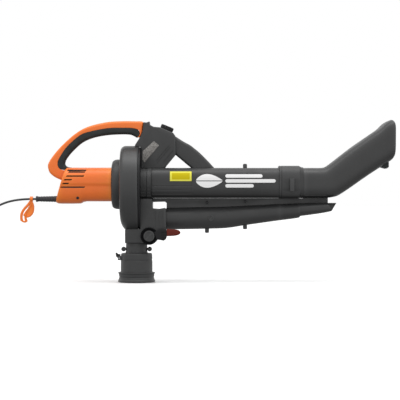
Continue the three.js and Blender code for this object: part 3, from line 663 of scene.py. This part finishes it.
def drum_ring(x, inset, roundness=0.0, radius=0.0):
    """A section of the fan housing: its egg outline, or a circle where roundness is 1."""
    ring = []
    for i in range(DRUM_SIDES):
        a = 2 * math.pi * i / DRUM_SIDES
        height = (DRUM_RADIUS if math.sin(a) > 0 else DRUM_DROP) - inset
        egg = Vector((x, (DRUM_RADIUS - inset) * math.cos(a), AXIS_Z + height * math.sin(a)))
        circle = Vector((x, radius * math.cos(a), AXIS_Z + radius * math.sin(a)))
        ring.append(egg.lerp(circle, roundness))
    return ring


def arc_rings(x_rim, x_side, depth, steps=7, low_reach=0.0, low_depth=0.0, inset=0.0):
    """Rings round a rim, from its side to its face; the rounding may be larger low down."""
    rings = []
    for k in range(steps + 1):
        a = math.pi / 2 * k / steps
        wide = drum_ring(0, inset + depth * (1 - math.cos(a)))
        deep = drum_ring(0, inset + (depth + low_depth) * (1 - math.cos(a)))
        ring = []
        for near, far in zip(wide, deep):
            low = min(max((230 - near.z) / 80, 0), 1) ** 1.5
            point = near.lerp(far, low)
            start = x_side + low_reach * low
            point.x = start + (x_rim - start) * math.sin(a)
            ring.append(point)
        rings.append(ring)
    return rings


CHAMBER = [
    (-287, 121), (-243, 121), (-236, 118.5), (-228, 116.4), (-218, 115.6), (-208.5, 117.8), (-200, 124),
    (-195.3, 132), (-194.3, 139), (-193, 152), (-187, 160), (-171, 161), (-171, 216), (-287, 216),
]


def add_fan_housing():
    rear_rim = list(reversed(arc_rings(DRUM_REAR_X, DRUM_REAR_X + 15, 13, 7, 16, 30)))
    outside = [drum_ring(DRUM_REAR_X, 0, 1, 22), drum_ring(DRUM_REAR_X, 0, 1, 76)] + rear_rim
    outside += arc_rings(DRUM_SEAM_X - 0.6, DRUM_SEAM_X - 11, 5, 5)
    inside = [drum_ring(DRUM_SEAM_X - 0.6, 7), drum_ring(DRUM_SEAM_X - 8, WALL)]
    inside += arc_rings(DRUM_REAR_X + WALL, DRUM_REAR_X + 15, 13, 5, 16, 30, WALL)
    inside += [drum_ring(DRUM_REAR_X + WALL, 0, 1, 66), drum_ring(DRUM_REAR_X + WALL, 0, 1, 22)]
    rear = build("fan_housing_rear_shell", [skin(outside + inside, wrap=True)], 40)
    outlet = plate(CHAMBER, -CHAMBER_HALF_WIDTH, CHAMBER_HALF_WIDTH)
    carve(rear, [outlet], 40)
    finish_piece(rear, DARK_SMOOTH, ["fan_housing_rear"])
    front_rings = [drum_ring(DRUM_SEAM_X, 4.6), drum_ring(DRUM_SEAM_X + 0.3, 3.8)]
    front_rings += [drum_ring(DRUM_FRONT_X - 1.0, 3.8), drum_ring(DRUM_FRONT_X, 4.8)]
    front_rings += [drum_ring(DRUM_FRONT_X, 0, 1, 70), drum_ring(DRUM_FRONT_X, 0, 1, 47),
                    drum_ring(DRUM_FRONT_X - WALL, 0, 1, 47), drum_ring(DRUM_FRONT_X - WALL, 9),
                    drum_ring(DRUM_SEAM_X, 8)]
    front = build("fan_housing_front_cover", [skin(front_rings, wrap=True)], 40)
    carve(front, [outlet], 40)
    # Black plastic on the front cover is painted shade for the shadowed gap at the drum's front edge.
    finish_piece(front, BLACK, ["fan_housing_front"])
    seal = build("outlet_seal", [block((-250, -242.8), (-20, 20), (159, 242), 0.5)], 40)
    finish_piece(seal, RUBBER)


def add_inlet_ring():
    """The neck between fan housing and tube, with three louvre grooves low on each side."""
    profile = [
        (47, -243.7), (52.5, -243.7), (52.5, -225.6), (53.9, -224.4), (53.9, -211), (54.6, -210.4),
        (54.6, -209.2), (51.5, -209.2), (51.5, -225),
    ]
    ring = build("inlet_neck", [sleeve(profile, 0.5, "x", (0, 0, AXIS_Z), 128)], 40)
    slots = []
    for x, radius in (((-241, -230), 50.9), ((-223.5, -212.5), 52.5)):
        for z in (278, 268, 259):
            reach = math.sqrt(radius ** 2 - (AXIS_Z - z) ** 2)
            slots += [block(x, y, (z - 1.8, z + 1.8)) for y in ((-80, -reach), (reach, 80))]
    carve(ring, slots, 40)
    finish_piece(ring, DARK, ["inlet_ring"])


# ---------------------------------------------------------------- switch housing and front handle

SWITCH_TOP = [
    (-262, 409), (-251, 426), (-240.5, 444), (-236, 470), (-235.9, 478.5), (-227, 477.5), (-218, 480.5),
    (-216.5, 470.5), (-205, 464.6), (-186, 463), (-147, 446.5), (-141, 438),
]
SWITCH_FOOT = [(-139, 383), (-168, 348), (-173, 340), (-243.4, 340), (-243.4, 400), (-255, 404)]
FRONT_GRIP_OUTER = [
    (-150, 443), (-141, 437), (-118, 422), (-97, 410.5), (-82, 399), (-67, 386.5), (-46, 365.5),
    (-20, 337.5),
]
FRONT_GRIP_INNER = [
    (-166, 412), (-153, 394), (-140, 381), (-129, 371.5), (-118, 362.5), (-107, 353), (-95.5, 343.5),
    (-86, 334),
]


def tube_stations(places):
    return [(x, TUBE_TOP_Z, x, TUBE_BOTTOM_Z, TUBE_HALF_WIDTH, TUBE_SQUARENESS) for x in places]


def tube_ring_solid(inflate, x_from, x_to):
    return skin([oval(s, ring_angles(96), -inflate) for s in tube_stations((x_from, x_to))])


def drum_solid(inflate):
    return skin([drum_ring(DRUM_REAR_X, -inflate), drum_ring(DRUM_FRONT_X + 0.3, -inflate)])


def strut_grooves(side):
    """Three grooves down the slanting strut."""
    cutters = []
    for offset, length in ((7, 44), (20, 62), (26, 60)):
        start = Vector((-142, 388)) + Vector((-0.64, 0.77)) * offset
        along, across = Vector((-0.64, -0.77)), Vector((-0.77, 0.64)) * 1.6
        end = start + along * length
        low, high = sorted((side * (SWITCH_HALF_WIDTH - 1.6), side * 40))
        cutters.append(plate([tuple(c) for c in (start, end, end + across, start + across)], low, high))
    return cutters


def add_switch_housing():
    casing = plate(SWITCH_TOP + SWITCH_FOOT, -SWITCH_HALF_WIDTH, SWITCH_HALF_WIDTH, 3.5)
    body = build("switch_housing", [casing], 30)
    combine(body, [band(FRONT_GRIP_INNER, FRONT_GRIP_OUTER, 15.5, 8, 8)], "UNION")
    cavity = [(-236, 420), (-231, 470), (-222, 469), (-209, 458), (-184, 457), (-152, 443), (-145, 434),
              (-144, 392), (-172, 358), (-190, 350), (-238, 352), (-238, 405)]
    spindle = moved(rod(3.6, -10, 10, "z", (0, 0, 0), 24), DIAL_FRAME)
    cutters = [
        plate(cavity, -20.5, 20.5), spindle, block((-205.5, -185), (-7, 7), (450, 470)),
        drum_solid(CLEARANCE),
        rod(54.3, -246, -208.7, "x", (0, 0, AXIS_Z), 96),
        tube_ring_solid(CLEARANCE, -208.7, 0),
    ]
    cutters += strut_grooves(-1) + strut_grooves(1)
    carve(body, cutters, 30)
    split_shells(body, "switch_housing", DARK, (-300, 20), (300, 500))


def add_rocker():
    corners = [(-202.5, 452), (-187.5, 452), (-187.5, 461), (-195, 463), (-202.5, 464.5)]
    rocker = build("rocker_switch", [plate(rounded_profile(corners, 1.2, True), -6, 6, 0.8)], 40)
    finish_piece(rocker, BLACK, ["rocker"], "rocker")


def add_dial():
    """A fluted wheel on the sloping top of the switch housing."""
    shares = ((0.8, 0.96, 0), (1.4, 0.98, 0), (3, 0.98, 0), (3.6, 1, 1), (11.5, 1, 1), (12.8, 0.97, 0.6),
              (13.4, 0.9, 0.1), (13.4, 0.72, 0), (12.4, 0.68, 0), (12.2, 0.1, 0), (12.2, 0.001, 0))
    rows = [(height, 19.8 * share, flute) for height, share, flute in shares]
    wheel = skin(fluted_rings(rows, 12, 1.4, 0.7, "z"))
    marker = block((8, 17), (-0.9, 0.9), (12.2, 13.9), 0.4)
    stem = rod(3, -14, 2, "z", (0, 0, 0), 24)
    dial = build("speed_wheel", [moved(part, DIAL_FRAME) for part in (wheel, marker, stem)], 30)
    finish_piece(dial, BLACK, ["speed_dial"], "dial")


# ---------------------------------------------------------------- tubes

def hollow(stations, wall, angles, pieces=6, detail=None):
    """A tube with wall thickness along refined stations; detail moves its outer points."""
    fine = spline(stations, pieces)
    outer = [oval(s, angles) for s in fine]
    if detail:
        outer = [[detail(p) for p in ring] for ring in outer]
    inner = [oval(s, angles, wall) for s in reversed(fine)]
    lip_in, lip_out = oval(fine[0], angles, wall * 0.5), oval(fine[-1], angles, wall * 0.5)
    return skin([lip_in] + outer + [lip_out] + inner, wrap=True)


def tube_side_y(z):
    """Half width of the vacuum tube at a height."""
    height = min(abs(z - TUBE_CENTRE_Z) / TUBE_HALF_HEIGHT, 1)
    return TUBE_HALF_WIDTH * (1 - height ** TUBE_SQUARENESS) ** (1 / TUBE_SQUARENESS)


def groove(z, centre, width):
    return max(0.0, 1 - abs(z - centre) / width)


def vacuum_tube_detail(point):
    """Grooves low on the rear third, and a raised band behind the label."""
    fade = min(max((-88 - point.x) / 6, 0), 1)
    grooves = ((1.1, 287, 1.6), (1.1, 277, 1.6), (2.0, 265, 3.0))
    depth = sum(deep * groove(point.z, z, width) for deep, z, width in grooves)
    depth = depth * fade - 0.9 * fade
    scale = 1 - depth / TUBE_HALF_WIDTH
    return Vector((point.x, point.y * scale, point.z))


def peg(x, low, high):
    """A bag-strap peg with a rounded end at the far side from the tube."""
    tip = low if abs(low - TUBE_CENTRE_Z) > abs(high - TUBE_CENTRE_Z) else high
    root = high if tip == low else low
    sign = 1 if tip > root else -1
    profile = [(6.2, root), (6.2, tip - sign * 3), (5.4, tip - sign * 1), (3.8, tip), (0.01, tip)]
    return skin(turned_rings(profile, "z", (x, 0, 0), 32))


def add_vacuum_tube():
    heights = [z + dz for z in (287, 277, 265) for dz in (-3, -1.6, -0.8, 0, 0.8, 1.6, 3)]
    extra = []
    for z in heights:
        sine = signed_power((z - TUBE_CENTRE_Z) / TUBE_HALF_HEIGHT, TUBE_SQUARENESS / 2)
        extra += [math.asin(sine), math.pi - math.asin(sine)]
    angles = ring_angles(96, extra)
    stations = tube_stations((-208.7, -206, -150, -96, -92, -88, -84, -60, 0, 100, 205))
    duct = hollow(stations, WALL, angles, 2, vacuum_tube_detail)
    tube = build("vacuum_tube_body", [duct, peg(68, 340, 354.5)], 25)
    finish_piece(tube, DARK, ["vacuum_tube_rear"])


def add_blower_tube():
    stations = [
        (-167.7, 223, -167.7, 158, 32.5, 2), (-150, 223.4, -150, 158, 32.5, 2),
        (-60, 225, -60, 159.5, 32.2, 2), (11, 226.5, 11, 162, 32, 2), (68, 229, 68, 170.4, 31, 2.1),
        (120, 231.5, 120, 177.8, 31.6, 2.2),
        (TUBE_SEAM_X, 234, TUBE_SEAM_X, 185, 32.5, 2.3),
    ]
    boss = [(8.6, -29), (8.6, -33.6), (8, -34.2), (6.4, -34.2), (6, -33.4), (0.01, -33.2)]
    parts = [hollow(stations, WALL, ring_angles(72)), peg(-46, 147.5, 168), peg(68, 158.5, 176),
             skin(turned_rings(boss, "y", (-34, 0, 192.5), 40))]
    tube = build("blower_tube_body", parts, 30)
    finish_piece(tube, DARK, ["blower_tube_rear"])


def add_bridge():
    outline = [(-208.4, 256), (-208.4, 240), (-172, 241), (-167, 237), (-167, 219), (-60, 221), (11, 222),
               (68, 225), (171.6, 231), (171.6, 250.9), (168.7, 250.9), (168.7, 256)]
    bridge = build("tube_bridge_web", [plate(outline, -7, 7)], 30)
    bosses = [rod(5.5, -9, 9, "y", (x, 0, z), 32) for x, z in BRIDGE_SCREWS]
    combine(bridge, bosses, "UNION")
    lower = skin([oval(s, ring_angles(72), -CLEARANCE) for s in (
        (-168, 223, -168, 158, 32.5, 2), (11, 226.5, 11, 162, 32, 2), (68, 229, 68, 170.4, 31, 2.1),
        (172, 234, 172, 185, 32.5, 2.3))])
    holes = [rod(2.6, -12, 7, "y", (x, 0, z), 20) for x, z in BRIDGE_SCREWS]
    carve(bridge, [tube_ring_solid(CLEARANCE, -230, 170), lower] + holes, 30)
    finish_piece(bridge, DARK, ["tube_bridge"])


def add_joint_collar():
    """Sleeve over the tube joint, with a raised rib on its top and a seam at each end."""
    places = ((169, 0.6), (170, 0), (173, 0), (173.6, 0.7), (175.4, 0.7), (176, 0), (228, 0), (230, 1.6),
              (234, 3.4), (237, 4.4), (238, 4.9), (239, 4.4), (JOINT_END_X, 5))
    outer = []
    for x, inset in places:
        outer.append(oval((x, 348.4, x, 250.6, 60, TUBE_SQUARENESS), ring_angles(96), inset))
    inner = [oval((x, 342, x, 252, TUBE_HALF_WIDTH, TUBE_SQUARENESS), ring_angles(96), -0.5)
             for x in (JOINT_END_X, 169)]
    collar = build("joint_collar", [skin(outer + inner, wrap=True)], 30)
    carve(collar, [block((198.7, 211.3), (-70, -40), (271.9, 309.1), 0.8)], 30)
    finish_piece(collar, DARK, ["front_collar"])
    button = build("release_press_button", [block((199.3, 210.7), (-62.3, -58.7), (272.5, 307), 1.0)], 40)
    stem = rod(3, -60, -48.5, "y", (205, 0, 290.5), 24)
    combine(button, [stem], "UNION")
    arrow = [block((204.5, 208.5), (-70, -60.2), (283, 303)),
             block((199, 211), (-70, -61.2), (303, 305))]
    carve(button, arrow, 40)
    finish_piece(button, BLACK, ["release_button"], "release_button")


NOZZLE = [
    (JOINT_END_X + CLEARANCE, 342, JOINT_END_X + CLEARANCE, 252.5, 54, 3.4),
    (270, 342, 272, 252.5, 54, 3.4),
    (292, 342, 302, 252.6, 54, 3.4), (306, 344.2, 327, 254.2, 54, 3.5), (324, 356, 355, 264.8, 55, 3.6),
    (382.4, 401, 434.5, 320, 61, 4.0), (437.5, 439.2, 492, 357.5, 67, 4.4), (462, 455.8, 514, 372.5, 70, 4.6),
    (472, 464.5, 526, 380.5, 71.5, 4.6), (484, 476, 540, 390, 73, 4.6), (501, 484.7, 562, 402, 74.5, 4.6),
    (530, 490, 590, 414, 75.5, 4.6),
]


def mouth_x(z):
    """Where the nozzle's convex mouth lies at a height."""
    rise = min(max((z - 423) / 61, -1), 1)
    return FRONT_X - (9 * rise ** 8 if rise > 0 else 12 * rise ** 6)


def trimmed(line, ahead):
    """A lengthwise line of a duct, ended where it meets the mouth."""
    for k in range(len(line) - 1):
        start, end = line[k], line[k + 1]
        if end.x <= mouth_x(end.z) + ahead:
            continue
        low, high = 0.0, 1.0
        for _ in range(24):
            middle = (low + high) / 2
            point = start.lerp(end, middle)
            inside = point.x <= mouth_x(point.z) + ahead
            low, high = (middle, high) if inside else (low, middle)
        return line[:k + 1] + [start.lerp(end, low)]
    return line


def respaced(line, count):
    """The same line with evenly spaced points."""
    lengths = [0.0]
    for start, end in zip(line, line[1:]):
        lengths.append(lengths[-1] + (end - start).length)
    points, k = [], 0
    for step in range(count):
        target = lengths[-1] * step / (count - 1)
        while k < len(line) - 2 and lengths[k + 1] < target:
            k += 1
        span = max(lengths[k + 1] - lengths[k], 1e-6)
        points.append(line[k].lerp(line[k + 1], min((target - lengths[k]) / span, 1)))
    return points


def cut_at_mouth(rings, ahead=0.0):
    lines = [trimmed([ring[i] for ring in rings], ahead) for i in range(len(rings[0]))]
    columns = [respaced(line, len(rings)) for line in lines]
    return [[column[step] for column in columns] for step in range(len(rings))]


def add_vacuum_nozzle():
    angles = ring_angles(112)
    fine = spline(NOZZLE, 4)
    outer = cut_at_mouth([oval(s, angles) for s in fine])
    inner = cut_at_mouth([oval(s, angles, 3.0) for s in fine])
    middle = cut_at_mouth([oval(s, angles, 1.5) for s in fine], 0.5)
    start = oval(fine[0], angles, 1.5)
    shell = skin([start] + outer + [middle[-1]] + list(reversed(inner)), wrap=True)
    nozzle = build("vacuum_nozzle_body", [shell], 30)
    sides = ((-61.2, -41.2), (41.2, 61.2))
    carve(nozzle, [block((JOINT_END_X + 2, 309), y, (258.4, 260.2)) for y in sides], 30)
    finish_piece(nozzle, DARK_SMOOTH, ["vacuum_nozzle"])


def add_blower_nozzle():
    stations = [
        (TUBE_SEAM_X + CLEARANCE, 234, TUBE_SEAM_X + CLEARANCE, 185, 32.5, 2.3), (200, 235.2, 200, 188.6, 34, 2.4),
        (229, 236, 229, 193, 36, 2.6), (231, 236, 231, 197, 35.2, 2.6), (270, 237, 268, 202.4, 38, 2.9),
        (310, 237.3, 305, 208, 40, 3.2), (339, 237.4, 325, 212.5, 41, 3.4),
    ]
    nozzle = build("blower_nozzle_body", [hollow(stations, 2.5, ring_angles(80), 4)], 30)
    notch = [(313, 234.4), (350, 234.4), (350, 200), (328, 200), (326.5, 214)]
    carve(nozzle, [plate(notch, low, low + 30) for low in (-58, 28)], 30)
    vane = [(306, 235.6), (338, 235.6), (326, 214.5), (312, 213)]
    combine(nozzle, [plate(vane, low, low + 2) for low in (-28.5, 26.5)], "UNION", 30)
    finish_piece(nozzle, DARK, ["blower_nozzle"])


def add_rail_and_skid():
    rail = build("front_rail_web", [block((TUBE_SEAM_X + CLEARANCE, 316), (-6, 6), (225, 258))], 30)
    nozzle = skin([oval(s, ring_angles(80), 0.6) for s in spline(NOZZLE[:5], 3)])
    lower = skin([oval(s, ring_angles(80), 0.6) for s in (
        (160, 233.6, 160, 184, 32.4, 2.3), (200, 235.2, 200, 190.6, 34, 2.4),
        (229, 236, 229, 195.6, 36, 2.6), (310, 237.3, 305, 208, 40, 3.2),
        (339, 237.4, 325, 212.5, 41, 3.4))])
    carve(rail, [block((160, JOINT_END_X + 1), (-9, 9), (251, 270)), nozzle, lower], 30)
    finish_piece(rail, DARK, ["front_rail"])
    foot = [(472, 351), (469, 346), (482, 342.5), (490, 340), (495.5, 344), (495.5, 364)]
    skid = build("nozzle_skid_foot", [plate(foot, -30, 30, 1)], 30)
    carve(skid, [skin([oval(s, ring_angles(80), -0.2) for s in spline(NOZZLE[5:], 3)])], 30)
    finish_piece(skid, GRIP, ["nozzle_skid"])


# ---------------------------------------------------------------- diverter, selector, neck and bag collar

def add_diverter():
    outline = spline([(-290, 175), (-290, 150), (-290, 118)], 1)
    outline += [(-246, 118), (-238, 117)]
    outline += [(SELECTOR[0] + 26.5 * math.cos(a), SELECTOR[1] + 26.5 * math.sin(a))
                for a in (math.radians(d) for d in range(-125, 11, 9))]
    outline += [(-190, 151), (-185, 157.5), (-168.2, 158), (-168.2, 219), (-173, 222.5), (-190, 219.5),
                (-208.9, 221), (-208.9, 250), (-243.4, 250)]
    body = build("diverter_body", [plate(outline, -41, 41, 3)], 30)
    cutters = [
        plate(CHAMBER, -CHAMBER_HALF_WIDTH, CHAMBER_HALF_WIDTH), drum_solid(CLEARANCE),
        block((-240.8, -211.5), (-CHAMBER_HALF_WIDTH, CHAMBER_HALF_WIDTH), (218.8, 255)),
        rod(5.4, -60, 60, "y", (SELECTOR[0], 0, SELECTOR[1]), 32),
        rod(32.3, 100, 118, "z", (NECK_X, 0, 0), 64),
        rod(29.3, 110, 125, "z", (NECK_X, 0, 0), 64),
        rod(29.5, -180, -160, "x", (0, 0, 190.5), 64),
        rod(54.6, -250, -208.7, "x", (0, 0, AXIS_Z), 96),
    ]
    for x in (-200, -190, -180):
        cutters += [block((x, x + 1.6), y, (166, 212)) for y in ((-45, -40.2), (40.2, 45))]
    carve(body, cutters, 30)
    finish_piece(body, DARK, ["diverter_housing"])


def add_neck():
    profile = [(29.4, 60), (32, 60), (32, 84), (33.4, 86), (33.4, 90), (32, 91.5), (32, 112), (32, 117.7),
               (29.4, 117.7)]
    neck = build("bag_neck_tube", [sleeve(profile, 0.8, "z", (NECK_X, 0, 0), 96)], 40)
    lugs = []
    for side in (-1, 1):
        centre_x = NECK_X + side * 39
        lugs.append(turned(rounded_profile([(0.01, -6.5), (6.9, -6.5), (6.9, 6.5), (0.01, 6.5)], 1), "y",
                           (centre_x, 0, 99), 32))
        low, high = sorted((NECK_X + side * 31, centre_x))
        lugs.append(block((low, high), (-4, 4), (95.5, 102.5), 0.6))
    combine(neck, lugs, "UNION", 30)
    finish_piece(neck, DARK, ["bag_neck"])


def add_bag_collar():
    profile = [
        (32.7, 87), (32.7, 58), (44.5, 50), (44.5, 6), (50, 0.4), (54, 0.2), (55.5, 1.6), (55.5, 5.6),
        (54.2, 7.4), (53.2, 9), (52.8, 14), (51.6, 15), (51.6, 16.5), (52.8, 17.5), (53.2, 24), (54.4, 26.6),
        (55.6, 27.4), (55.6, 29), (54, 30), (47.6, 31), (47.5, 64), (47.1, 65.2), (46.4, 65.6),
        (46.4, 67.4), (47.0, 68), (46.8, 83), (45.6, 86), (43, 87),
    ]
    parts = [sleeve(profile, 0.9, "z", (NECK_X, 0, 0), 128)]
    for y in (-9.5, 9.5):
        parts.append(block((NECK_X - 56, NECK_X - 44), (y - 1.5, y + 1.5), (66, 78), 0.8))
    pin_head = turned(rounded_profile([(0.01, 45.6), (3.2, 45.6), (3.2, 47.6), (0.01, 47.6)], 0.6), "x",
                      (0, 0, 67), 24)
    round_collar = Matrix.Translation((NECK_X, 0, 0)) @ Matrix.Rotation(math.radians(222), 4, "Z")
    parts.append(moved(pin_head, round_collar))
    collar = build("bag_collar_ring", parts, 30)
    finish_piece(collar, DARK, ["bag_collar"], "bag_collar")
    corners = [(-309, 68.4), (-313, 72), (-318.5, 77), (-320, 87.5), (-316.5, 88), (-313, 84),
               (-305.8, 83.6), (-305.8, 80), (-306, 72)]
    latch = build("bag_latch_lever", [plate(rounded_profile(corners, 1.2, True), -7, 7, 0.8)], 30)
    finish_piece(latch, BLACK, ["bag_latch"], "bag_latch")


def add_selector():
    """Knurled black ring and cap, the arm out to the lever, and the flap's pin."""
    face = -41.5
    shift = Matrix.Translation((SELECTOR[0], 0, SELECTOR[1]))
    levels = ((0, 16, 0), (0, 24.2, 0), (-1, 25.4, 0), (-3, 25.6, 1), (-9, 25.6, 1), (-10.8, 24, 0.4),
              (-11, 22, 0), (-9.4, 19.6, 0), (-9.4, 16, 0))
    rows = [(face + level, radius, flute) for level, radius, flute in levels]
    knurled = skin(fluted_rings(rows, 24, 1.3, 0.6, "y"), wrap=True)
    arm = [(14, 12), (33, 21), (49, 21.5), (52.4, 17), (52.4, -3), (45, -13), (36, -12), (22, -10)]
    notches = [block((36, 52), (face - 14, face - 9.6), (z, z + 2.2)) for z in (-6, 2, 10)]
    grip = build("selector_knob_ring", [moved(knurled, shift)], 30)
    clip = build("selector_clip", [plate(spline(arm, 3), face - 11, face - 2, 1.6)], 30)
    carve(clip, notches, 30)
    clip.data.transform(Matrix.Translation(Vector((SELECTOR[0], 0, SELECTOR[1])) * MM))
    finish_piece(grip, MATT_BLACK, ["selector_knob"], "selector")
    finish_piece(clip, BLACK, ["selector_knob"], "selector")
    cap_rows = [(0.01, face), (15.4, face), (16.4, face - 9), (16.4, face - 13), (15.4, face - 14.6),
                (12.6, face - 15), (12.2, face - 13.9), (0.01, face - 13.7)]
    pin = [(0.01, -43), (5, -43), (5, 41.6), (8, 41.6), (8, 43.2), (7.2, 43.8), (0.01, 43.8)]
    turnings = [moved(turned(profile, "y", (0, 0, 0), 48), shift) for profile in (cap_rows, pin)]
    cap = build("selector_knob_cap", turnings, 30)
    finish_piece(cap, DARK, ["selector_knob"], "selector")
    tip = spline([(52.8, 0), (52.8, 20), (66, 20.4), (80, 19.6), (89, 16.4), (93, 10.5), (89, 4.6),
                  (77, 1.2), (52.8, -0.4)], 3)[:-1]
    lever = build("selector_lever_tip", [moved(plate(tip, face - 12, face - 1, 3.2), shift)], 40)
    # The lever tip's darker orange is painted shade.
    finish_piece(lever, SHADED_ORANGE, ["selector_lever"], "selector")


# ---------------------------------------------------------------- prints and labels

def decal(low, high, places, rows=10, lift=1.1):
    """A thin skin on the tube's right side between two heights given along X."""
    verts, faces = [], []
    for x in places:
        bottom, top = low(x), high(x)
        for row in range(rows + 1):
            z = bottom + (top - bottom) * row / rows
            verts.append((x, -tube_side_y(z) - lift, z))
    across = rows + 1
    for i in range(len(places) - 1):
        for row in range(rows):
            a = i * across + row
            faces.append((a, a + across, a + across + 1, a + 1))
    return verts, faces


def spread(start, end, count):
    """Places along X, closer together towards both ends."""
    middle, half = (start + end) / 2, (end - start) / 2
    return [middle - half * math.cos(math.pi * i / count) for i in range(count + 1)]


def thicken(obj, thickness):
    modifier = obj.modifiers.new("thickness", "SOLIDIFY")
    modifier.thickness = thickness * MM
    modifier.offset = 0
    apply_modifiers(obj)
    clean(obj, 40)


def capsule(start, end, centre, half):
    """Low and high edges of a bar with round ends."""
    def reach(x):
        inside = min(x - start, end - x, half)
        return math.sqrt(max(half * half - (half - inside) ** 2, 0.0001))
    return (lambda x: centre - reach(x)), (lambda x: centre + reach(x)), spread(start, end, 28)


def leaf_half(start, end, middle, height, sign):
    """One half of a leaf either side of its vein."""
    def edge(x):
        t = (x - start) / (end - start)
        return height * math.sin(math.pi * t ** 0.8) ** 0.85
    def near(x):
        return middle + sign * 1.2
    def far(x):
        return middle + sign * (1.2 + max(edge(x), 0.05))
    return (near, far, spread(start, end, 28)) if sign > 0 else (far, near, spread(start, end, 28))


def add_badge():
    """A white leaf followed by three streaks of air."""
    parts = [decal(*leaf_half(-79, 0, 302.5, 19, sign), lift=0.6) for sign in (1, -1)]
    for start, end, centre, half in ((8, 118, 317, 5.2), (8, 157, 302.5, 5.2), (8, 92, 288, 5.2)):
        parts.append(decal(*capsule(start, end, centre, half), lift=0.6))
    badge = build("side_badge_print", parts, 40)
    thicken(badge, 0.5)
    finish_piece(badge, WHITE, ["side_badge"])


def add_warning_label():
    def flat(low, high, start, end, lift):
        return decal(lambda x: low, lambda x: high, [start, (start + end) / 2, end], 14, lift)
    border = build("label_border", [flat(302, 330.5, -156, -92, 1.4)], 40)
    thicken(border, 0.5)
    finish_piece(border, PALE_YELLOW, ["warning_label"])
    panel = build("label_panel", [flat(307, 326, -150, -97.5, 1.75)], 40)
    thicken(panel, 0.4)
    finish_piece(panel, YELLOW)


def add_rating_label():
    corners = [(-204, 422), (-189, 409), (-232, 358), (-239, 366), (-238, 391)]
    label = build("rating_film", [plate(rounded_profile(corners, 2, True), -24.9, -24.1, 0.2)], 40)
    finish_piece(label, GREY_FILM, ["rating_label"])


# ---------------------------------------------------------------- fasteners and inner pieces

def add_screws():
    """Pan heads with a cross recess."""
    radius = 4.4
    rear, front = BRIDGE_SCREWS
    for name, (x, z), head_y, length in (("housing_screw", (-430, 252), -46.7, 52),
                                         ("bridge_screw_rear", rear, -11.7, 16),
                                         ("bridge_screw_front", front, -11.7, 16)):
        profile = [(0.01, head_y), (radius * 0.6, head_y + 0.1), (radius * 0.9, head_y + 0.9),
                   (radius, head_y + 2.4), (2.2, head_y + 2.5), (2.2, head_y + length),
                   (0.01, head_y + length)]
        screw = build(f"{name}_body", [turned(profile, "y", (x, 0, z), 32)], 30)
        arms = [block((x - a, x + a), (head_y - 1, head_y + 1.3), (z - b, z + b))
                for a, b in ((2.4, 0.5), (0.5, 2.4))]
        carve(screw, arms, 30)
        finish_piece(screw, BLACK_STEEL, [name])


INNER = {
    "motor_shaft": STEEL, "commutator": COPPER, "armature": LAMINATED, "cooling_fan": BLACK,
    "impeller": ALUMINIUM, "impeller_nut": STEEL, "stator": LAMINATED, "field_coil_upper": COPPER,
    "field_coil_lower": COPPER, "brush_holder_right": BRASS, "brush_holder_left": BRASS,
    "rear_bearing": STEEL, "front_bearing": STEEL, "motor_bracket": BLACK, "switch_module": BLACK,
    "control_board": BOARD, "dial_potentiometer": BOARD, "diverter_flap": DARK, "latch_pin": STEEL,
}


def dress_inner_nodes():
    for name, material in INNER.items():
        obj = nodes[name]
        obj.data.materials.clear()
        obj.data.materials.append(material)
        bevel = obj.modifiers.new("edges", "BEVEL")
        bevel.width = 0.0004
        bevel.segments = 2
        bevel.limit_method = "ANGLE"
        bevel.angle_limit = math.radians(40)


# ---------------------------------------------------------------- stage

def add_floor():
    size = 40
    mesh = bpy.data.meshes.new("floor")
    corners = [(-size, -size, 0), (size, -size, 0), (size, size, 0), (-size, size, 0)]
    mesh.from_pydata(corners, [], [(0, 1, 2, 3)])
    floor = bpy.data.objects.new("floor", mesh)
    floor.location.z = -0.0005
    bpy.context.collection.objects.link(floor)
    floor.data.materials.append(Shader("pale_floor", (0.97, 0.97, 0.97), 0.9).material)
    floor.visible_diffuse = False
    floor.visible_glossy = False


def add_world():
    """White all round above the floor and dimmer below it, so that undersides stay darker."""
    world = bpy.data.worlds.new("studio")
    world.use_nodes = True
    tree = world.node_tree
    direction = tree.nodes.new("ShaderNodeTexCoord").outputs["Generated"]
    split = tree.nodes.new("ShaderNodeSeparateXYZ")
    tree.links.new(direction, split.inputs[0])
    strength = map_range(tree, split.outputs["Z"], -0.5, -0.02, 0.42, 1.0)
    tree.nodes["Background"].inputs["Color"].default_value = (1, 1, 1, 1)
    tree.links.new(strength, tree.nodes["Background"].inputs["Strength"])
    bpy.context.scene.world = world
    bpy.context.scene.view_settings.view_transform = "Standard"


def add_area_light(name, location, target, size, power):
    data = bpy.data.lights.new(name, "AREA")
    data.shape = "RECTANGLE"
    data.size, data.size_y = size
    data.energy = power
    light = bpy.data.objects.new(name, data)
    light.location = location
    light.rotation_euler = (Vector(target) - Vector(location)).to_track_quat("-Z", "Y").to_euler()
    bpy.context.collection.objects.link(light)


def add_lights():
    """A wide soft light from above, which also whitens the floor out to its edge."""
    data = bpy.data.lights.new("overhead", "SUN")
    data.energy = 0.7
    data.angle = math.radians(60)
    overhead = bpy.data.objects.new("overhead", data)
    overhead.rotation_euler = (math.radians(12), math.radians(6), 0)
    bpy.context.collection.objects.link(overhead)
    add_area_light("top_softbox", (0, -0.3, 1.9), (0, 0, 0.3), (2.4, 0.7), 10)


# ---------------------------------------------------------------- the whole object

declare_lead()
add_motor_housing()
add_grip()
add_rear_collar()
add_fan_housing()
add_inlet_ring()
add_switch_housing()
add_rocker()
add_dial()
add_vacuum_tube()
add_blower_tube()
add_bridge()
add_joint_collar()
add_vacuum_nozzle()
add_blower_nozzle()
add_rail_and_skid()
add_diverter()
add_neck()
add_bag_collar()
add_selector()
add_badge()
add_warning_label()
add_rating_label()
add_screws()
dress_inner_nodes()
add_floor()
add_world()
add_lights()
